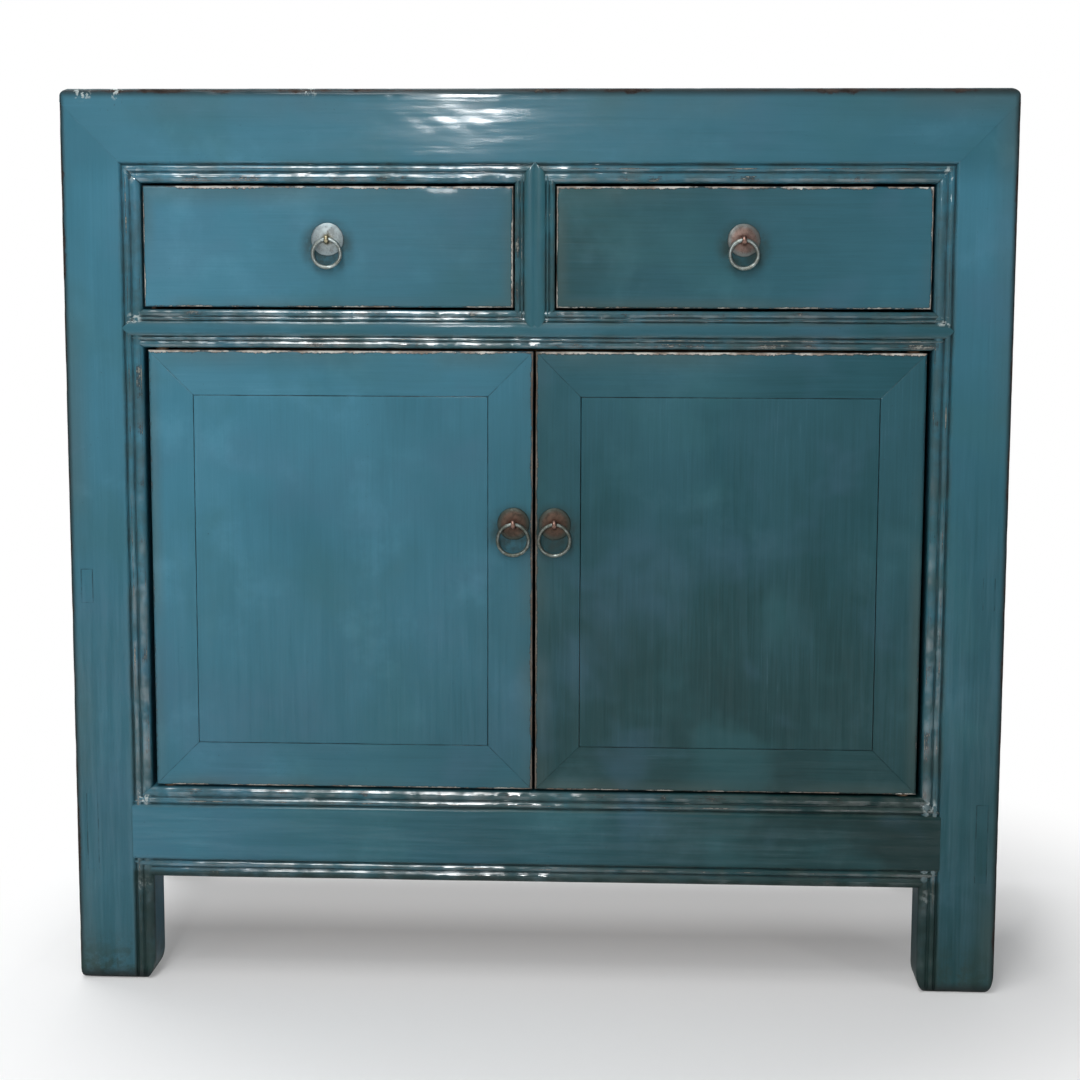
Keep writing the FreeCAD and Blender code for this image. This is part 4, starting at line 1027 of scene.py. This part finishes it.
def rod(start, stop, radius):
    """A round rod with round ends: its radius at a distance d from an end is that of a ball there."""
    start, stop = np.array(start, float), np.array(stop, float)
    length = np.linalg.norm(stop - start)
    way = (stop - start) / length
    side = np.cross(way, right)
    tip = radius * np.array([0.03, 0.15, 0.4, 0.75, 1.0])
    along = np.concatenate([tip, np.linspace(radius, length - radius, 6)[1:-1], length - tip[::-1]])
    inside = np.clip(radius - np.minimum(along, length - along), 0, radius)
    turn = full_turn(20)[:, None]
    rim = np.cos(turn) * side + np.sin(turn) * np.cross(way, side)
    wide = np.sqrt(radius ** 2 - inside ** 2)
    return sheath(start + along[:, None, None] * way + wide[:, None, None] * rim[None], False)


def domed_plate(x, z, seed):
    """A domed round plate with a hole: a closed profile turned about an axis along Y, its rim a little
    uneven. The dome's height above the rim falls with (1 - (r / R)^2)^0.8."""
    hole = pin_radius + 0.15
    r = np.concatenate([plate_radius - np.array([0.0, 0.12, 0.35, 0.8, 1.5]),
                        np.linspace(plate_radius - 2.5, hole, 14)])
    dome = plate_rim + (plate_dome - plate_rim) * (1 - (r / plate_radius) ** 2) ** 0.8
    dome[:2] -= (0.3, 0.12)
    under = np.array([(hole, 1.6), (4.0, 1.5), (8.06, 1.06), (plate_radius - 2.2, 0.0),
                      (plate_radius - 0.2, 0.0), (plate_radius, 0.2)])
    r, lift = np.concatenate([r, under[:, 0]]), np.concatenate([dome, under[:, 1]])
    turn = full_turn(96)[:, None]
    uneven = 1 - 0.012 * swell(2 * np.cos(turn), 2 * np.sin(turn), seed)
    reach = r * np.where(r > 6, uneven, 1.0)
    grid = [x + reach * np.cos(turn), face_plane - lift + 0 * turn, z + reach * np.sin(turn)]
    return sheath(np.stack(grid, axis=-1), True, edge=plate_radius - r)


pull_sizes = {"drawer": (drawer_pull, drawer_thick, 13.2, 1.85), "door": (door_pull, door_thick, 14.9, 1.75)}
for side_name, side in SIDES:
    for leaf, (spot, depth, ring_radius, ring_wire) in pull_sizes.items():
        x, z = side * spot[0], spot[1]
        body, metal = f"{side_name}_{leaf}", f"{leaf}_metal"
        wire = pale_wire if leaf == "drawer" else ring_brass
        pin = pin_brass if leaf == "drawer" and side < 0 else pin_copper
        plate = copper_plate if leaf == "door" else pale_plate if side < 0 else pink_plate
        seed = zlib.crc32(body.encode())
        eye_y, bend_y = face_plane - eye_stand, face_plane + depth + leg_radius
        eye = hoop((x, eye_y, z), deep, up, eye_radius, eye_wire, seed, eye_broad)
        shank = rod((x, eye_y + eye_radius - 0.4, z), (x, bend_y + leg_radius, z), pin_radius)
        legs = [rod((x, bend_y, z), (x, bend_y, z + way * (leg_length + leg_radius)), leg_radius)
                for way in (-1, 1)]
        ring = hoop((x, eye_y, z - ring_radius), right, up, ring_radius, ring_wire, seed + 1)
        piece(body + "_backplate", [domed_plate(x, z, seed)], plate, body, metal)
        piece(body + "_split_pin", [eye, shank, *legs], pin, body, metal)
        piece(body + "_ring", [ring], wire, body + "_ring", metal)


# Carried-over pieces

along_x = ["bottom_panel", "rear_mid_rail"]
along_y = ["left_runner", "centre_runner", "right_runner", "top_battens"]
for side_name, _ in SIDES:
    along_x += [f"{side_name}_drawer_back", f"{side_name}_door_battens"]
    along_y += [f"{side_name}_drawer_{part}" for part in ("left_side", "right_side", "bottom")]
for names, finish in ((along_x, wood_x), (along_y, wood_y)):
    for name in names:
        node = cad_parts[name]
        node.data.materials.clear()
        node.data.materials.append(finish)


# Floor, light and camera

white = (1, 1, 1)
scene = bpy.context.scene
floor_mesh = bpy.data.meshes.new("studio_floor")
floor_mesh.from_pydata([(-9, -9, 0), (9, -9, 0), (9, 9, 0), (-9, 9, 0)], [], [(0, 1, 2, 3)])
floor = bpy.data.objects.new("studio_floor", floor_mesh)
scene.collection.objects.link(floor)
floor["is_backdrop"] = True
pale, shader, place = new_finish("pale_floor")
floor_colour = layers((0.80, 0.80, 0.80), (place.noise(3.0), (0.82, 0.82, 0.82)))
feed(shader, {"Base Color": floor_colour, "Roughness": 0.7, "Specular IOR Level": 0.1})
# Camera rays see the floor partly as white glow: painted light that lifts the floor's shadow, more away from
# the cabinet, under its back half and beyond its sides.
x, y, _ = place.parts()
fade = place.vector("LENGTH", output="Value").span(0.44, 0.86, 0.21, 1.0).most(
    y.span(-0.16, 0.1, 0.0, 0.42), x.under(-0.64, -0.43), x.span(0.40, 0.62, 0.0, 0.6))
seen = place.node("LightPath", {}, "Is Camera Ray") * fade
glow = place.node("Emission", {"Color": white, "Strength": 1.0})
blend = place.node("MixShader", {0: seen, 1: Value(shader.outputs[0]), 2: glow})
feed(pale.node_tree.nodes["Material Output"], {"Surface": blend})
floor_mesh.materials.append(pale)

world = bpy.data.worlds.new("studio")
scene.world = world
world.use_nodes = True
ray = add(world.node_tree, "LightPath", {}).outputs
glossy, passing, camera_ray = (Value(ray[f"Is {kind} Ray"]) for kind in ("Glossy", "Transmission", "Camera"))
_, way, _ = Value(add(world.node_tree, "TexCoord", {}).outputs["Generated"]).parts()
room = layers((0.075, 0.08, 0.085), (way.span(0.35, 0.9), white))
shown = layers((0.19, 0.20, 0.21), (glossy.most(passing), room), (camera_ray, white))
feed(world.node_tree.nodes["Background"], {"Color": shown, "Strength": 1.0})


def stand(name, data, axes, at):
    """An object in the scene whose own axes and place are given."""
    turn = np.eye(4)
    turn[:3, :3], turn[:3, 3] = np.column_stack(axes), at
    made = bpy.data.objects.new(name, data)
    scene.collection.objects.link(made)
    made.matrix_world = Matrix(turn.tolist())
    return made


def lamp(name, at, aim, size, power, mirrored=True):
    """A soft lamp at a point, turned to face another. One that isn't mirrored leaves no glint."""
    light = bpy.data.lights.new(name, "AREA")
    light.shape, light.size, light.size_y = "RECTANGLE", size[0], size[1]
    light.energy = power
    back = np.array(at, float) - np.array(aim, float)
    back /= np.linalg.norm(back)
    side = np.cross(up, back)
    side /= np.linalg.norm(side)
    stand(name, light, (side, np.cross(back, side), back), at).visible_glossy = mirrored


lamp("soft_key", (-1.9, -2.6, 1.35), (0, 0, 0.45), (0.9, 1.1), 6, mirrored=False)
lamp("low_window", (-0.305, -3.2, 1.25), (-0.1, 0, 1.0), (0.15, 0.34), 12)
lamp("skylight", (-0.5, -2.45, 2.45), (-0.1, 0, 0.5), (0.6, 2.0), 33)
lamp("ceiling", (-0.5, -1.2, 2.9), (-0.3, -0.4, 0.6), (0.7, 1.4), 20)
lamp("overhead", (-0.7, 0.9, 2.6), (-0.1, 0, 0.0), (2.2, 1.8), 62)
lamp("right_fill", (2.2, -2.4, 1.3), (0, 0, 0.45), (0.35, 1.4), 10, mirrored=False)

eye_point = (0.094, -2.16625, 0.692)
yaw, pitch, roll = np.radians((-2.56, 7.2, 0.18))
forward = np.array([np.sin(yaw) * np.cos(pitch), np.cos(yaw) * np.cos(pitch), -np.sin(pitch)])
level = np.array([np.cos(yaw), -np.sin(yaw), 0.0])
rise = np.cross(level, forward)
camera = bpy.data.cameras.new("photo_view")
camera.sensor_width, camera.lens = 36.0, 69.18
axes = (np.cos(roll) * level + np.sin(roll) * rise, np.cos(roll) * rise - np.sin(roll) * level, -forward)
scene.camera = stand("photo_view", camera, axes, eye_point)
scene.view_settings.view_transform = "Standard"

low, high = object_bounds()
